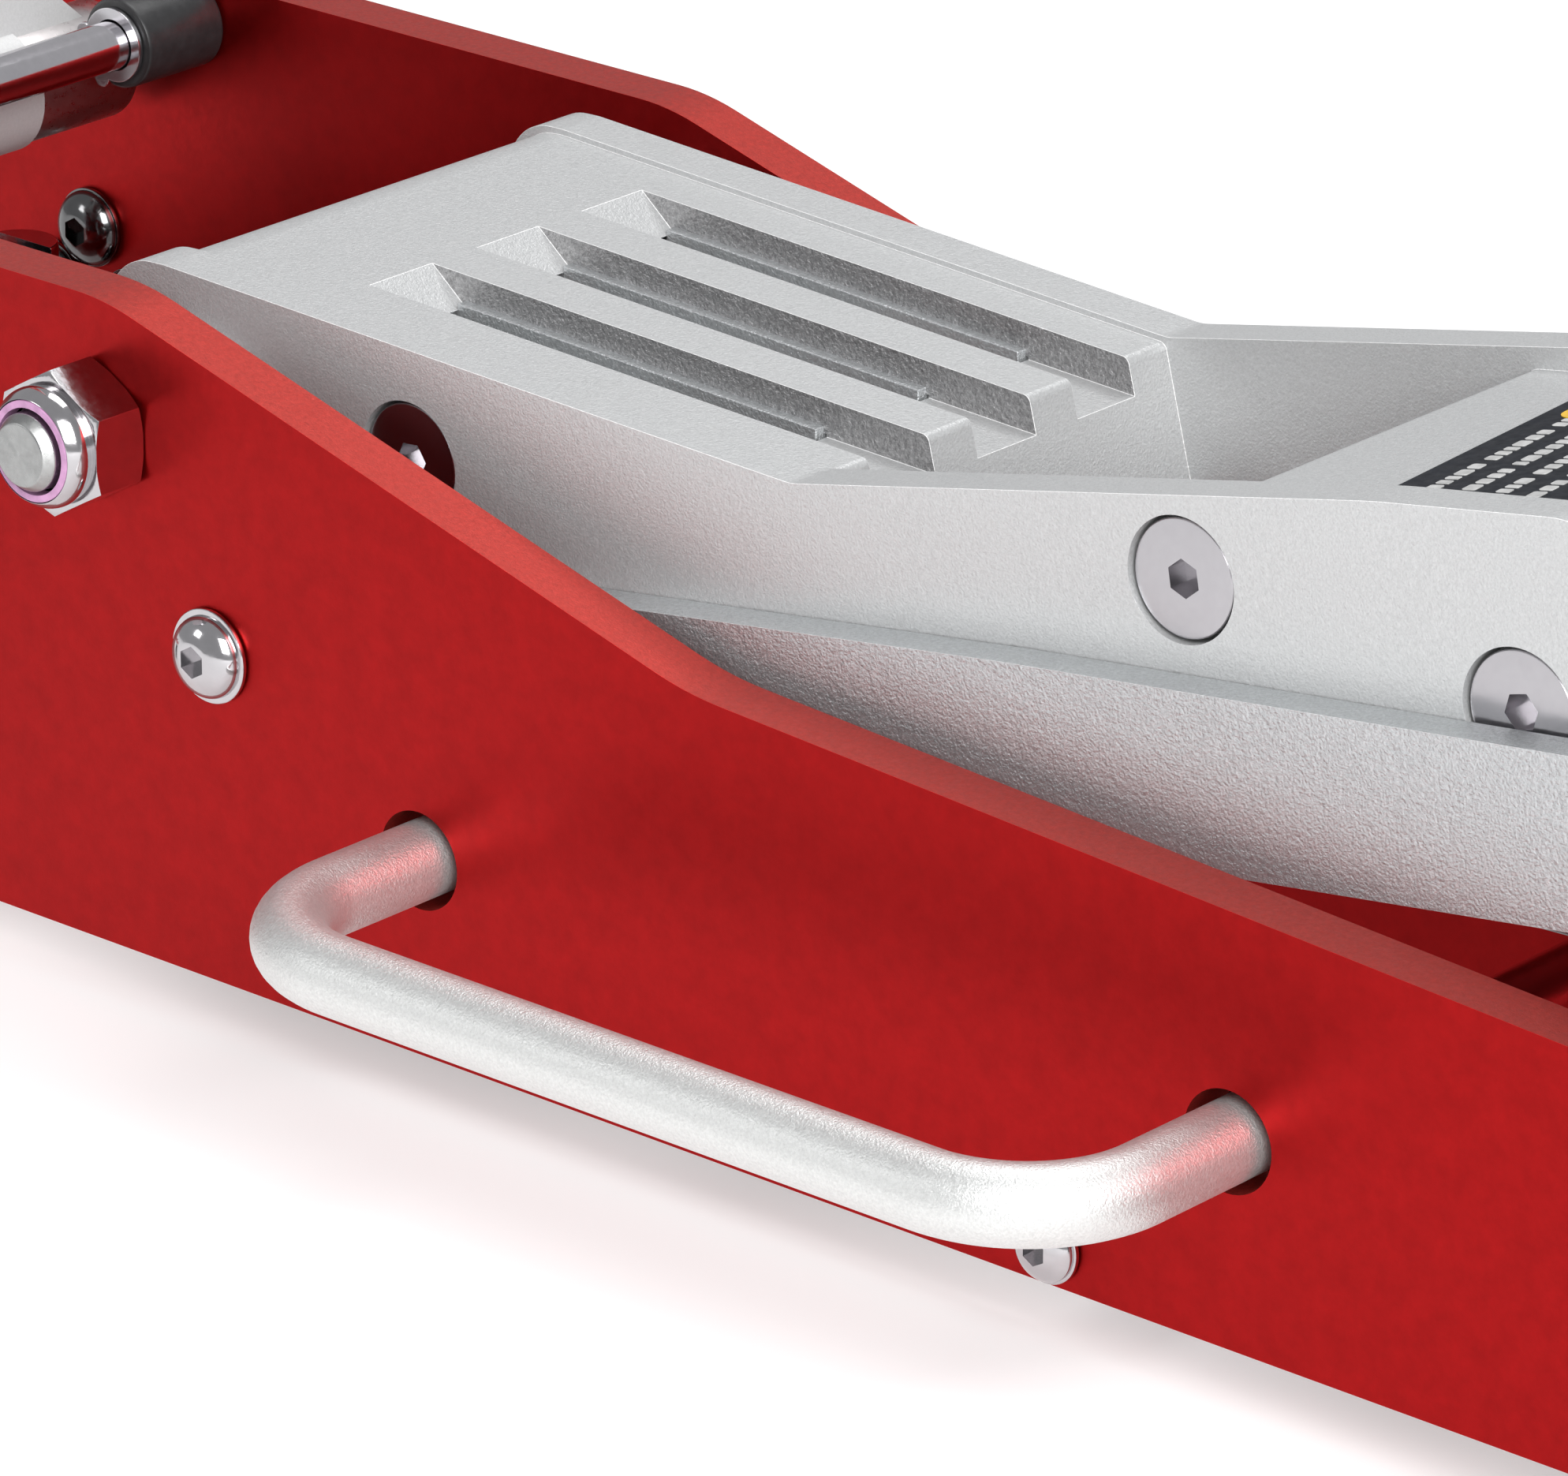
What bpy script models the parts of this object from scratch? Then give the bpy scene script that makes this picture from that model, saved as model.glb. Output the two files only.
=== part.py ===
"""Low-profile aluminium trolley jack for cars, partly raised, with its pump handle standing up.

World frame: +X to the saddle end, +Y to the jack's left, +Z up, metres. The origin is on the ground
under the centre of the whole jack. Every position below is given in the chassis frame, whose x is
counted from the lift arm's shaft and whose z is counted from the side plates' lower edge.
"""

import math

import bmesh
import bpy
from mathutils import Matrix, Vector

# ---- Driving dimensions, metres and degrees ----
GROUND_CLEARANCE = 0.014
GAP = 0.0003  # left between two pieces that touch

PLATE_HALF_WIDTH = 0.0905  # outer face of a side plate from the middle
PLATE_THICKNESS = 0.0127
PLATE_INNER = PLATE_HALF_WIDTH - PLATE_THICKNESS
PLATE_CHAMFER = 0.0006
PLATE_REAR_X = -0.222
PLATE_FRONT_X = 0.4706
REAR_KNEE = (0.0026, 0.1402)
FRONT_KNEE = (0.1595, 0.0961)
PLATE_NOSE_Z = 0.0772

ARM_SHAFT_Z = 0.1122
ARM_SHAFT_RADIUS = 0.009
ARM_SHAFT_END = 0.1124
NUT_FLATS = 0.027
NUT_HEX_HEIGHT = 0.0135
NUT_HEIGHT = 0.0192

ROD_ANCHOR = (0.0314, 0.0713)
ROD_ANCHOR_RADIUS = 0.007
TIE_BAR = (0.2515, 0.0083)
TIE_BAR_RADIUS = 0.0095
STOP_ROD = (-0.1398, 0.1301)
STOP_ROD_RADIUS = 0.0055
STOP_SLEEVE_RADIUS = 0.0102
STOP_SLEEVE_INNER_END = 0.0542
YOKE_SHAFT = (-0.1627, 0.1185)
YOKE_SHAFT_RADIUS = 0.008

CARRY_HOLES_X = (0.0879, 0.2938)
CARRY_Z = 0.042
CARRY_HOLE_RADIUS = 0.010
CARRY_BAR_RADIUS = 0.008
CARRY_REACH = 0.1435  # bar centreline from the middle of the jack
CARRY_BEND = 0.028

WHEEL_RADIUS = 0.036
WHEEL_WIDTH = 0.029
FRONT_AXLE = (0.4446, WHEEL_RADIUS - GROUND_CLEARANCE)
FRONT_AXLE_RADIUS = 0.008

CASTER_RADIUS = 0.024
CASTER_WIDTH = 0.018
CASTER_TRAIL = 0.010
CASTER_SWIVEL = (-0.176, 0.127)
CASTER_AXLE_Z = CASTER_RADIUS - GROUND_CLEARANCE
SHELF_Z = 0.0455
SHELF_THICKNESS = 0.005
BRACKET_SCREWS = ((-0.1732, 0.0745), (-0.1862, 0.0594), (-0.1600, 0.0583))

# Lift arm: half widths at its rear, which shrink towards the saddle.
ARM_HALF_WIDTH = 0.0635
ARM_INNER_HALF = 0.052
SKIRT_HALF_WIDTH = 0.073
SKIRT_INNER_HALF = 0.056
ARM_TAPER_REAR = 1.031
ARM_TAPER_RATE = 0.258
SHELL_OVERLAP = 0.014
ARM_SCREWS = ((0.0615, 0.1126), (0.2567, 0.1352), (0.3346, 0.1285))
SLOT_CENTRES_Y = (-0.031, 0.0, 0.031)
SLOT_WIDTH = 0.018
SADDLE_PIVOT = (0.382, 0.128)
SADDLE_PIN_RADIUS = 0.008
SADDLE_OFFSET_X = 0.008
CRANK_RADIUS = 0.058
CRANK_REST_ANGLE = -106.5
CRANK_PIN_RADIUS = 0.006
BOSS_RADIUS = 0.017

ROLLER_ARM = 0.030
ROLLER_REST_ANGLE = 186
ROLLER_RADIUS = 0.008
HANDLE_TILT = 12.0
HANDLE_RADIUS = 0.016
HANDLE_LENGTH = 0.900
HANDLE_WALL = 0.0025

CRANK_PIN = (
    CRANK_RADIUS * math.cos(math.radians(CRANK_REST_ANGLE)),
    ARM_SHAFT_Z + CRANK_RADIUS * math.sin(math.radians(CRANK_REST_ANGLE)),
)
RAM_Z = 0.0577
ROLLER = (
    YOKE_SHAFT[0] + ROLLER_ARM * math.cos(math.radians(ROLLER_REST_ANGLE)),
    YOKE_SHAFT[1] + ROLLER_ARM * math.sin(math.radians(ROLLER_REST_ANGLE)),
)
PLUNGER_X = YOKE_SHAFT[0] - 0.0240
PLUNGER_TOP = ROLLER[1] - ROLLER_RADIUS - 0.0014
BLOCK_TOP = 0.060
VALVE = (-0.149, 0.031)
ROD_PIN = (
    SADDLE_PIVOT[0] + ROD_ANCHOR[0],
    SADDLE_PIVOT[1] + ROD_ANCHOR[1] - ARM_SHAFT_Z,
)
HANDLE_AXIS = Vector((-math.sin(math.radians(HANDLE_TILT)), 0, math.cos(math.radians(HANDLE_TILT))))
GRIP_RADIUS = 0.0195

# The origin is midway between the front of the front wheels and the rearmost point of the handle.
FRONT_REACH = FRONT_AXLE[0] + WHEEL_RADIUS
REAR_REACH = YOKE_SHAFT[0] + HANDLE_AXIS.x * (HANDLE_LENGTH - 0.003) - GRIP_RADIUS * HANDLE_AXIS.z
ARM_SHAFT_X = -(FRONT_REACH + REAR_REACH) / 2

POSITIONS = {}  # chassis position of every placed object, by name


# ---- Scene ----
for old in list(bpy.data.objects):
    bpy.data.objects.remove(old, do_unlink=True)

JACK = bpy.data.collections.new("trolley_jack")
CUTTERS = bpy.data.collections.new("cutters")
CUTTERS.hide_render = True
for group in (JACK, CUTTERS):
    bpy.context.scene.collection.children.link(group)


def finish(name, colour, roughness, metallic):
    material = bpy.data.materials.new(name)
    material.use_nodes = True
    shader = material.node_tree.nodes["Principled BSDF"]
    shader.inputs["Base Color"].default_value = (*colour, 1)
    shader.inputs["Roughness"].default_value = roughness
    shader.inputs["Metallic"].default_value = metallic
    return material


RED_ANODISED = finish("red_anodised", (0.42, 0.012, 0.012), 0.38, 0.7)
CAST_ALUMINIUM = finish("cast_aluminium", (0.60, 0.60, 0.59), 0.5, 0.9)
SATIN_ALUMINIUM = finish("satin_aluminium", (0.72, 0.72, 0.71), 0.35, 1.0)
BRIGHT_STEEL = finish("bright_steel", (0.62, 0.60, 0.62), 0.16, 1.0)
STEEL = finish("steel", (0.34, 0.34, 0.35), 0.4, 1.0)
CHROME = finish("chrome", (0.80, 0.79, 0.82), 0.06, 1.0)
BLACK_PLASTIC = finish("black_plastic", (0.015, 0.015, 0.016), 0.35, 0.0)
RUBBER = finish("rubber", (0.02, 0.02, 0.021), 0.75, 0.0)
RED_PAINT = finish("red_paint", (0.40, 0.010, 0.010), 0.3, 0.0)


# ---- Placing and modifiers ----
def place(obj, position, parent):
    """Puts obj at a chassis position as a child of parent, whose own chassis position is known."""
    base = Vector(POSITIONS[parent.name]) if parent else Vector()
    obj.parent = parent
    obj.location = Vector(position) - base
    POSITIONS[obj.name] = tuple(position)
    return obj


def axis(name, position, parent):
    """An empty on a joint's axis."""
    empty = bpy.data.objects.new(name, None)
    empty.empty_display_size = 0.02
    JACK.objects.link(empty)
    return place(empty, position, parent)


def make(name, mesh, material, parent, position=(0, 0, 0), rotation=(0, 0, 0)):
    obj = bpy.data.objects.new(name, mesh)
    JACK.objects.link(obj)
    if not mesh.materials:
        mesh.materials.append(material)
    obj.rotation_euler = [math.radians(angle) for angle in rotation]
    return place(obj, position, parent)


def helper(mesh, position=(0, 0, 0), rotation=(0, 0, 0), parent=None):
    """A cutter or a joining shape, in the chassis frame like the pieces it works on."""
    obj = bpy.data.objects.new("cutter", mesh)
    CUTTERS.objects.link(obj)
    obj.hide_render = True
    obj.display_type = "WIRE"
    obj.rotation_euler = [math.radians(angle) for angle in rotation]
    return place(obj, position, parent or DATUM)


def boolean(obj, other, operation):
    modifier = obj.modifiers.new(operation.lower(), "BOOLEAN")
    modifier.operation = operation
    modifier.object = other
    modifier.solver = "EXACT"


def cut(obj, other):
    boolean(obj, other, "DIFFERENCE")


def join(obj, other):
    boolean(obj, other, "UNION")


def bevel(obj, width, segments=1, angle=35):
    modifier = obj.modifiers.new("bevel", "BEVEL")
    modifier.width = width
    modifier.segments = segments
    modifier.limit_method = "ANGLE"
    modifier.angle_limit = math.radians(angle)


def baked(obj):
    """The mesh that obj has with its modifiers, welded."""
    bpy.context.view_layer.update()
    graph = bpy.context.evaluated_depsgraph_get()
    mesh = bpy.data.meshes.new_from_object(obj.evaluated_get(graph))
    work = bmesh.new()
    work.from_mesh(mesh)
    bmesh.ops.remove_doubles(work, verts=work.verts, dist=1e-6)
    bmesh.ops.dissolve_limit(work, angle_limit=0.005, verts=work.verts, edges=work.edges)
    bmesh.ops.recalc_face_normals(work, faces=work.faces)
    work.to_mesh(mesh)
    work.free()
    return mesh


def bake(obj):
    mesh = baked(obj)
    obj.modifiers.clear()
    obj.data = mesh


def smooth(mesh, angle=35):
    mesh.shade_smooth()
    mesh.set_sharp_from_angle(angle=math.radians(angle))
    return mesh


# ---- Shapes ----
TURN = {
    "Z": Matrix(),
    "Y": Matrix.Rotation(math.radians(-90), 3, "X"),
    "X": Matrix.Rotation(math.radians(90), 3, "Y"),
}


def cylinder(radius, length, along="Y", sides=32, top_radius=None):
    """A cylinder or cone about its own middle."""
    work = bmesh.new()
    bmesh.ops.create_cone(
        work, cap_ends=True, segments=sides, depth=length,
        radius1=radius, radius2=radius if top_radius is None else top_radius,
    )
    bmesh.ops.transform(work, matrix=TURN[along].to_4x4(), verts=work.verts)
    mesh = bpy.data.meshes.new("cylinder")
    work.to_mesh(mesh)
    work.free()
    return smooth(mesh)


def block(size_x, size_y, size_z):
    work = bmesh.new()
    bmesh.ops.create_cube(work, size=1)
    bmesh.ops.scale(work, vec=(size_x, size_y, size_z), verts=work.verts)
    mesh = bpy.data.meshes.new("block")
    work.to_mesh(mesh)
    work.free()
    return mesh


def turned(profile, along="Z", sides=24, closed=False):
    """A turned shape. The profile's (radius, height) points run down the outer side."""
    work = bmesh.new()
    points = [work.verts.new((radius, 0, height)) for radius, height in profile]
    edges = list(zip(points, points[1:]))
    if closed:
        edges.append((points[-1], points[0]))
    for edge in edges:
        work.edges.new(edge)
    mesh = bpy.data.meshes.new("profile")
    work.to_mesh(mesh)
    work.free()
    obj = bpy.data.objects.new("profile", mesh)
    CUTTERS.objects.link(obj)
    modifier = obj.modifiers.new("screw", "SCREW")
    modifier.steps = sides
    modifier.render_steps = sides
    modifier.use_merge_vertices = True
    modifier.merge_threshold = 1e-6
    shape = baked(obj)
    bpy.data.objects.remove(obj)
    shape.transform(TURN[along].to_4x4())
    return smooth(shape)


def ring(outer, inner, length, along="Y", sides=24):
    half = length / 2
    profile = [(inner, half), (outer, half), (outer, -half), (inner, -half)]
    return turned(profile, along, sides, closed=True)


def rounded(corners, step=15):
    """The outline through (x, z, radius) corners, each corner an arc."""
    points = []
    count = len(corners)
    for index, (x, z, radius) in enumerate(corners):
        corner = Vector((x, z))
        back = (Vector(corners[index - 1][:2]) - corner).normalized()
        ahead = (Vector(corners[(index + 1) % count][:2]) - corner).normalized()
        opening = back.angle(ahead)
        if radius == 0 or math.pi - opening < 1e-3:
            points.append(tuple(corner))
            continue
        reach = radius / math.tan(opening / 2)
        start = corner + back * reach
        end = corner + ahead * reach
        centre = corner + (back + ahead).normalized() * (radius / math.sin(opening / 2))
        first = math.atan2(start.y - centre.y, start.x - centre.x)
        last = math.atan2(end.y - centre.y, end.x - centre.x)
        sweep = (last - first + math.pi) % (2 * math.pi) - math.pi
        steps = max(2, math.ceil(math.degrees(math.pi - opening) / step))
        points += arc(centre, radius, math.degrees(first), math.degrees(first + sweep), steps)
    return points


def prism(outline, thickness):
    """A flat outline in the XZ plane, extruded along Y about y = 0."""
    curve = bpy.data.curves.new("outline", "CURVE")
    curve.dimensions = "2D"
    curve.fill_mode = "BOTH"
    curve.extrude = thickness / 2
    spline = curve.splines.new("POLY")
    spline.points.add(len(outline) - 1)
    for point, (x, z) in zip(spline.points, outline):
        point.co = (x, z, 0, 1)
    spline.use_cyclic_u = True
    obj = bpy.data.objects.new("outline", curve)
    CUTTERS.objects.link(obj)
    mesh = baked(obj)
    bpy.data.objects.remove(obj)
    mesh.transform(Matrix.Rotation(math.radians(90), 4, "X"))
    return mesh


def bent_bar(path, radius, bevel_resolution=3):
    """A round bar along a polyline, with flat ends."""
    curve = bpy.data.curves.new("bar", "CURVE")
    curve.dimensions = "3D"
    curve.bevel_depth = radius
    curve.bevel_resolution = bevel_resolution
    curve.use_fill_caps = True
    spline = curve.splines.new("POLY")
    spline.points.add(len(path) - 1)
    for point, position in zip(spline.points, path):
        point.co = (*position, 1)
    obj = bpy.data.objects.new("bar", curve)
    CUTTERS.objects.link(obj)
    mesh = baked(obj)
    bpy.data.objects.remove(obj)
    return smooth(mesh, 50)


def shift(points, across, up):
    return [(x + across, z + up) for x, z in points]


def arc(centre, radius, first, last, steps):
    """Points of an arc in the XZ plane, angles in degrees from +X towards +Z."""
    angles = [math.radians(first + (last - first) * number / steps) for number in range(steps + 1)]
    return [(centre[0] + radius * math.cos(a), centre[1] + radius * math.sin(a)) for a in angles]


def drill(obj, radius, position, length=0.5, along="Y", sides=24):
    cut(obj, helper(cylinder(radius, length, along, sides), position))


def side_name(side):
    return "left" if side > 0 else "right"


# ---- Fasteners, each mesh shared by its copies ----
def hex_socket(flats, depth):
    return cylinder(flats / math.sqrt(3), depth, "Z", 6)


def with_socket(mesh, flats, depth, top):
    obj = helper(mesh)
    cut(obj, helper(hex_socket(flats, 2 * depth), (0, 0, top)))
    result = smooth(baked(obj))
    bpy.data.objects.remove(obj)
    return result


def button_screw(head_radius, head_height, flange_radius, shank_radius, shank_length, flats):
    """Flanged button head above z = 0, shank below."""
    flange = 0.0012
    dome = [
        (head_radius * math.sin(math.radians(a)), flange + (head_height - flange) * math.cos(math.radians(a)))
        for a in (30, 58, 90)
    ]
    profile = [(0, dome[0][1]), *dome, (flange_radius, flange), (flange_radius, 0)]
    profile += [(shank_radius, 0), (shank_radius, -shank_length), (0, -shank_length)]
    return with_socket(turned(profile, sides=16), flats, 0.0032, head_height)


def countersunk_screw():
    """Flat top at z = 0, 90 degree cone and shank below."""
    head, shank, length = 0.012, 0.006, 0.018
    profile = [(0, 0), (head - 0.0004, 0), (head, -0.0005), (head, -0.0012)]
    profile += [(shank, -0.0012 - head + shank), (shank, -length), (0, -length)]
    return with_socket(turned(profile, sides=22), 0.008, 0.0048, 0)


def lock_nut():
    """Hexagon with a domed collar, its seat at z = 0 and its collar upwards."""
    corner = NUT_FLATS / math.sqrt(3)
    edge = 0.0022
    obj = helper(cylinder(corner, NUT_HEX_HEIGHT, "Z", 6), (0, 0, NUT_HEX_HEIGHT / 2))
    mesh = baked(obj)
    mesh.transform(Matrix.Translation((0, 0, NUT_HEX_HEIGHT / 2)))
    bpy.data.objects.remove(obj)
    obj = helper(mesh)
    chamfer = [(0, NUT_HEX_HEIGHT), (corner - edge, NUT_HEX_HEIGHT), (corner, NUT_HEX_HEIGHT - edge * 0.6)]
    chamfer += [(corner, edge * 0.4), (corner - edge * 0.6, 0), (0, 0)]
    boolean(obj, helper(turned(chamfer, sides=24)), "INTERSECT")
    collar = 0.0125
    domed = [(0, NUT_HEIGHT), (collar - 0.0024, NUT_HEIGHT), (collar - 0.0005, NUT_HEIGHT - 0.0014)]
    domed += [(collar, NUT_HEIGHT - 0.0036), (collar, NUT_HEX_HEIGHT - 0.002), (0, NUT_HEX_HEIGHT - 0.002)]
    join(obj, helper(turned(domed, sides=20)))
    cut(obj, helper(cylinder(ARM_SHAFT_RADIUS + GAP, 0.1, "Z", 20)))
    result = smooth(baked(obj))
    bpy.data.objects.remove(obj)
    return result


# ---- Joint axes ----
DATUM = bpy.data.objects.new("chassis_datum", None)
JACK.objects.link(DATUM)
DATUM.location = (ARM_SHAFT_X, 0, GROUND_CLEARANCE)
POSITIONS[DATUM.name] = (0, 0, 0)

ARM = axis("arm_axis", (0, 0, ARM_SHAFT_Z), DATUM)
BRACKET = axis("saddle_bracket_axis", (SADDLE_PIVOT[0], 0, SADDLE_PIVOT[1]), ARM)
SADDLE = axis("saddle_axis", (SADDLE_PIVOT[0] + SADDLE_OFFSET_X, 0, SADDLE_PIVOT[1] + 0.02), BRACKET)
RODS = axis("control_rod_axis", (ROD_ANCHOR[0], 0, ROD_ANCHOR[1]), DATUM)
YOKE = axis("yoke_axis", (YOKE_SHAFT[0], 0, YOKE_SHAFT[1]), DATUM)
HANDLE = axis("handle_axis", (YOKE_SHAFT[0], 0, YOKE_SHAFT[1]), YOKE)


def on_side(side, point, y):
    """The chassis point (x, side * y, z)."""
    return (point[0], side * y, point[1])


# ---- Chassis ----
def side_plate(side):
    outline = rounded(
        [
            (PLATE_REAR_X, 0, 0.018), (PLATE_FRONT_X, 0, 0.018), (PLATE_FRONT_X, PLATE_NOSE_Z, 0.034),
            (*FRONT_KNEE, 0.080), (*REAR_KNEE, 0.060), (PLATE_REAR_X, REAR_KNEE[1], 0.035),
        ],
        step=10,
    )
    name = side_name(side) + "_side_plate"
    middle = side * (PLATE_HALF_WIDTH - PLATE_THICKNESS / 2)
    plate = make(name, prism(outline, PLATE_THICKNESS), RED_ANODISED, DATUM, (0, middle, 0))
    bevel(plate, PLATE_CHAMFER, angle=50)
    small = [(ROD_ANCHOR, 0.0053), (TIE_BAR, 0.0043), (STOP_ROD, STOP_ROD_RADIUS + GAP)]
    small += [(point, 0.0053) for point in BRACKET_SCREWS]
    large = [((0, ARM_SHAFT_Z), ARM_SHAFT_RADIUS + GAP), (YOKE_SHAFT, YOKE_SHAFT_RADIUS + GAP)]
    large += [(FRONT_AXLE, FRONT_AXLE_RADIUS + GAP)]
    large += [((x, CARRY_Z), CARRY_HOLE_RADIUS) for x in CARRY_HOLES_X]
    for holes, sides in ((small, 12), (large, 20)):
        for point, radius in holes:
            drill(plate, radius, on_side(side, point, PLATE_HALF_WIDTH), 0.04, sides=sides)


def carry_handle(side):
    """A bent round bar whose two legs end inside the plate's larger holes."""
    leg_end = PLATE_INNER + 0.001
    first, last = CARRY_HOLES_X
    turn = CARRY_REACH - CARRY_BEND
    path = [(first, leg_end)] + arc((first + CARRY_BEND, turn), CARRY_BEND, 180, 90, 7)
    path += arc((last - CARRY_BEND, turn), CARRY_BEND, 90, 0, 7) + [(last, leg_end)]
    points = [(x, side * y, 0) for x, y in path]
    bar = bent_bar(points, CARRY_BAR_RADIUS)
    make(side_name(side) + "_carry_handle", bar, SATIN_ALUMINIUM, DATUM, (0, 0, CARRY_Z))


def shaft(name, radius, half_length, point, material, parent=DATUM, chamfer=0.0012, sides=24):
    profile = [(0, half_length), (radius - chamfer, half_length), (radius, half_length - chamfer)]
    profile += [(radius, chamfer - half_length), (radius - chamfer, -half_length), (0, -half_length)]
    return make(name, turned(profile, "Y", sides), material, parent, (point[0], 0, point[1]))


def arm_shaft():
    shaft("lift_arm_shaft", ARM_SHAFT_RADIUS, ARM_SHAFT_END, (0, ARM_SHAFT_Z), BRIGHT_STEEL, chamfer=0.0018)
    nut = lock_nut()
    for side in (-1, 1):
        seat = side * (PLATE_HALF_WIDTH + GAP)
        centre = (0, seat, ARM_SHAFT_Z)
        make(side_name(side) + "_shaft_nut", nut, BRIGHT_STEEL, DATUM, centre, (-90 * side, 0, 0))


def rod_anchors():
    """Short pins inside the plates that carry the control rods, each held by a screw from outside."""
    screw = button_screw(0.00875, 0.0056, 0.0100, 0.005, 0.026, 0.006)
    inner_end = 0.0265
    for side in (-1, 1):
        length = PLATE_INNER - GAP - inner_end
        middle = inner_end + length / 2
        name = side_name(side)
        pin = make(
            name + "_rod_anchor_pin", cylinder(ROD_ANCHOR_RADIUS, length), STEEL, DATUM,
            on_side(side, ROD_ANCHOR, middle),
        )
        drill(pin, 0.0053, on_side(side, ROD_ANCHOR, PLATE_INNER), 0.034, sides=16)
        seat = on_side(side, ROD_ANCHOR, PLATE_HALF_WIDTH + GAP)
        make(name + "_anchor_screw", screw, BRIGHT_STEEL, DATUM, seat, (-90 * side, 0, 0))


def tie_bar():
    bar = shaft("front_tie_bar", TIE_BAR_RADIUS, PLATE_INNER - GAP, TIE_BAR, CHROME)
    screw = button_screw(0.0070, 0.0044, 0.0076, 0.004, 0.026, 0.005)
    for side in (-1, 1):
        drill(bar, 0.0043, on_side(side, TIE_BAR, PLATE_INNER), 0.034, sides=12)
        seat = on_side(side, TIE_BAR, PLATE_HALF_WIDTH + GAP)
        make(side_name(side) + "_tie_screw", screw, BRIGHT_STEEL, DATUM, seat, (-90 * side, 0, 0))


def circlip_mesh():
    """An open spring ring with two eared ends, in the XZ plane."""
    inner, outer = STOP_ROD_RADIUS + GAP, 0.0084
    opening = 33
    outline = arc((0, 0), outer, 90 + opening, 450 - opening, 14)
    outline += arc((0, 0), inner, 450 - opening, 90 + opening, 14)
    clip = helper(prism(outline, 0.0011))
    for sign in (-1, 1):
        direction = math.radians(90 + sign * (opening + 4))
        reach = outer + 0.0006
        ear = cylinder(0.0021, 0.0011, "Y", 10)
        join(clip, helper(ear, (reach * math.cos(direction), 0, reach * math.sin(direction))))
    result = baked(clip)
    bpy.data.objects.remove(clip)
    return result


def stop_rod():
    shaft("handle_stop_rod", STOP_ROD_RADIUS, PLATE_HALF_WIDTH - 0.0005, STOP_ROD, CHROME, chamfer=0.0008)
    length = PLATE_INNER - GAP - STOP_SLEEVE_INNER_END
    sleeve = ring(STOP_SLEEVE_RADIUS, STOP_ROD_RADIUS + GAP, length)
    clip = circlip_mesh()
    for side in (-1, 1):
        middle = STOP_SLEEVE_INNER_END + length / 2
        name = side_name(side)
        make(name + "_stop_sleeve", sleeve, BLACK_PLASTIC, DATUM, on_side(side, STOP_ROD, middle))
        clip_y = STOP_SLEEVE_INNER_END - GAP - 0.0006
        make(name + "_stop_circlip", clip, BRIGHT_STEEL, DATUM, on_side(side, STOP_ROD, clip_y), (0, -119, 0))


def front_axle():
    """The axle of both front wheels, its ends peened into round heads."""
    head = PLATE_HALF_WIDTH + WHEEL_WIDTH + 0.0016
    radius = FRONT_AXLE_RADIUS
    end = [(0, head + 0.0040), (0.0080, head + 0.0032), (0.0112, head + 0.0012), (0.0112, head)]
    end.append((radius, head))
    profile = end + [(r, -z) for r, z in reversed(end)]
    make("front_axle", turned(profile, "Y", sides=20), BRIGHT_STEEL, DATUM, (FRONT_AXLE[0], 0, FRONT_AXLE[1]))


def front_wheel(side):
    """A solid steel wheel with a rolled tread and a recessed outer face."""
    half = WHEEL_WIDTH / 2
    bore = FRONT_AXLE_RADIUS + GAP
    profile = [(bore, half - 0.001), (0.015, half - 0.001), (0.017, half - 0.006), (0.027, half - 0.006)]
    profile += [(0.029, half), (WHEEL_RADIUS - 0.003, half), (WHEEL_RADIUS, half - 0.004)]
    profile += [(WHEEL_RADIUS, 0.004 - half), (WHEEL_RADIUS - 0.003, -half), (bore, -half)]
    name = side_name(side) + "_front_wheel"
    middle = PLATE_HALF_WIDTH + 0.0010 + half
    rotation = (0, 0, 0) if side > 0 else (0, 0, 180)
    wheel = turned(profile, "Y", sides=32, closed=True)
    make(name, wheel, STEEL, DATUM, on_side(side, FRONT_AXLE, middle), rotation)


def pump_block():
    """The pump's body between the plates: oil tank, cylinder seat, pump barrel and valve boss."""
    length, height = 0.098, 0.052
    front = -0.118
    middle = front - length / 2
    body = make("pump_block", block(length, 0.086, height), RED_PAINT, DATUM, (middle, 0, 0.006 + height / 2))
    bevel(body, 0.004, 2)
    join(body, helper(block(0.040, 2 * (PLATE_INNER - GAP), 0.030), (-0.146, 0, 0.026)))
    join(body, helper(cylinder(0.015, 0.02, "Z", 24), (PLUNGER_X, 0, BLOCK_TOP - 0.005)))
    join(body, helper(cylinder(0.011, 0.02, "Z", 24), (VALVE[0], VALVE[1], BLOCK_TOP - 0.005)))
    drill(body, 0.0073, (PLUNGER_X, 0, 0.055), 0.060, "Z", 24)
    drill(body, 0.0063, (*VALVE, 0.060), 0.040, "Z", 20)
    return front


def ram_cylinder(block_front):
    """The main cylinder, a tube closed at its rear by the pump block."""
    rear, front = block_front + GAP, -0.044
    profile = [(0.0126, front), (0.024, front), (0.027, front - 0.003), (0.027, rear), (0, rear)]
    profile += [(0, rear + 0.004), (0.0126, rear + 0.004)]
    mesh = turned(profile, "X", sides=36, closed=True)
    make("ram_cylinder", mesh, STEEL, DATUM, (0, 0, RAM_Z))


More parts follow.
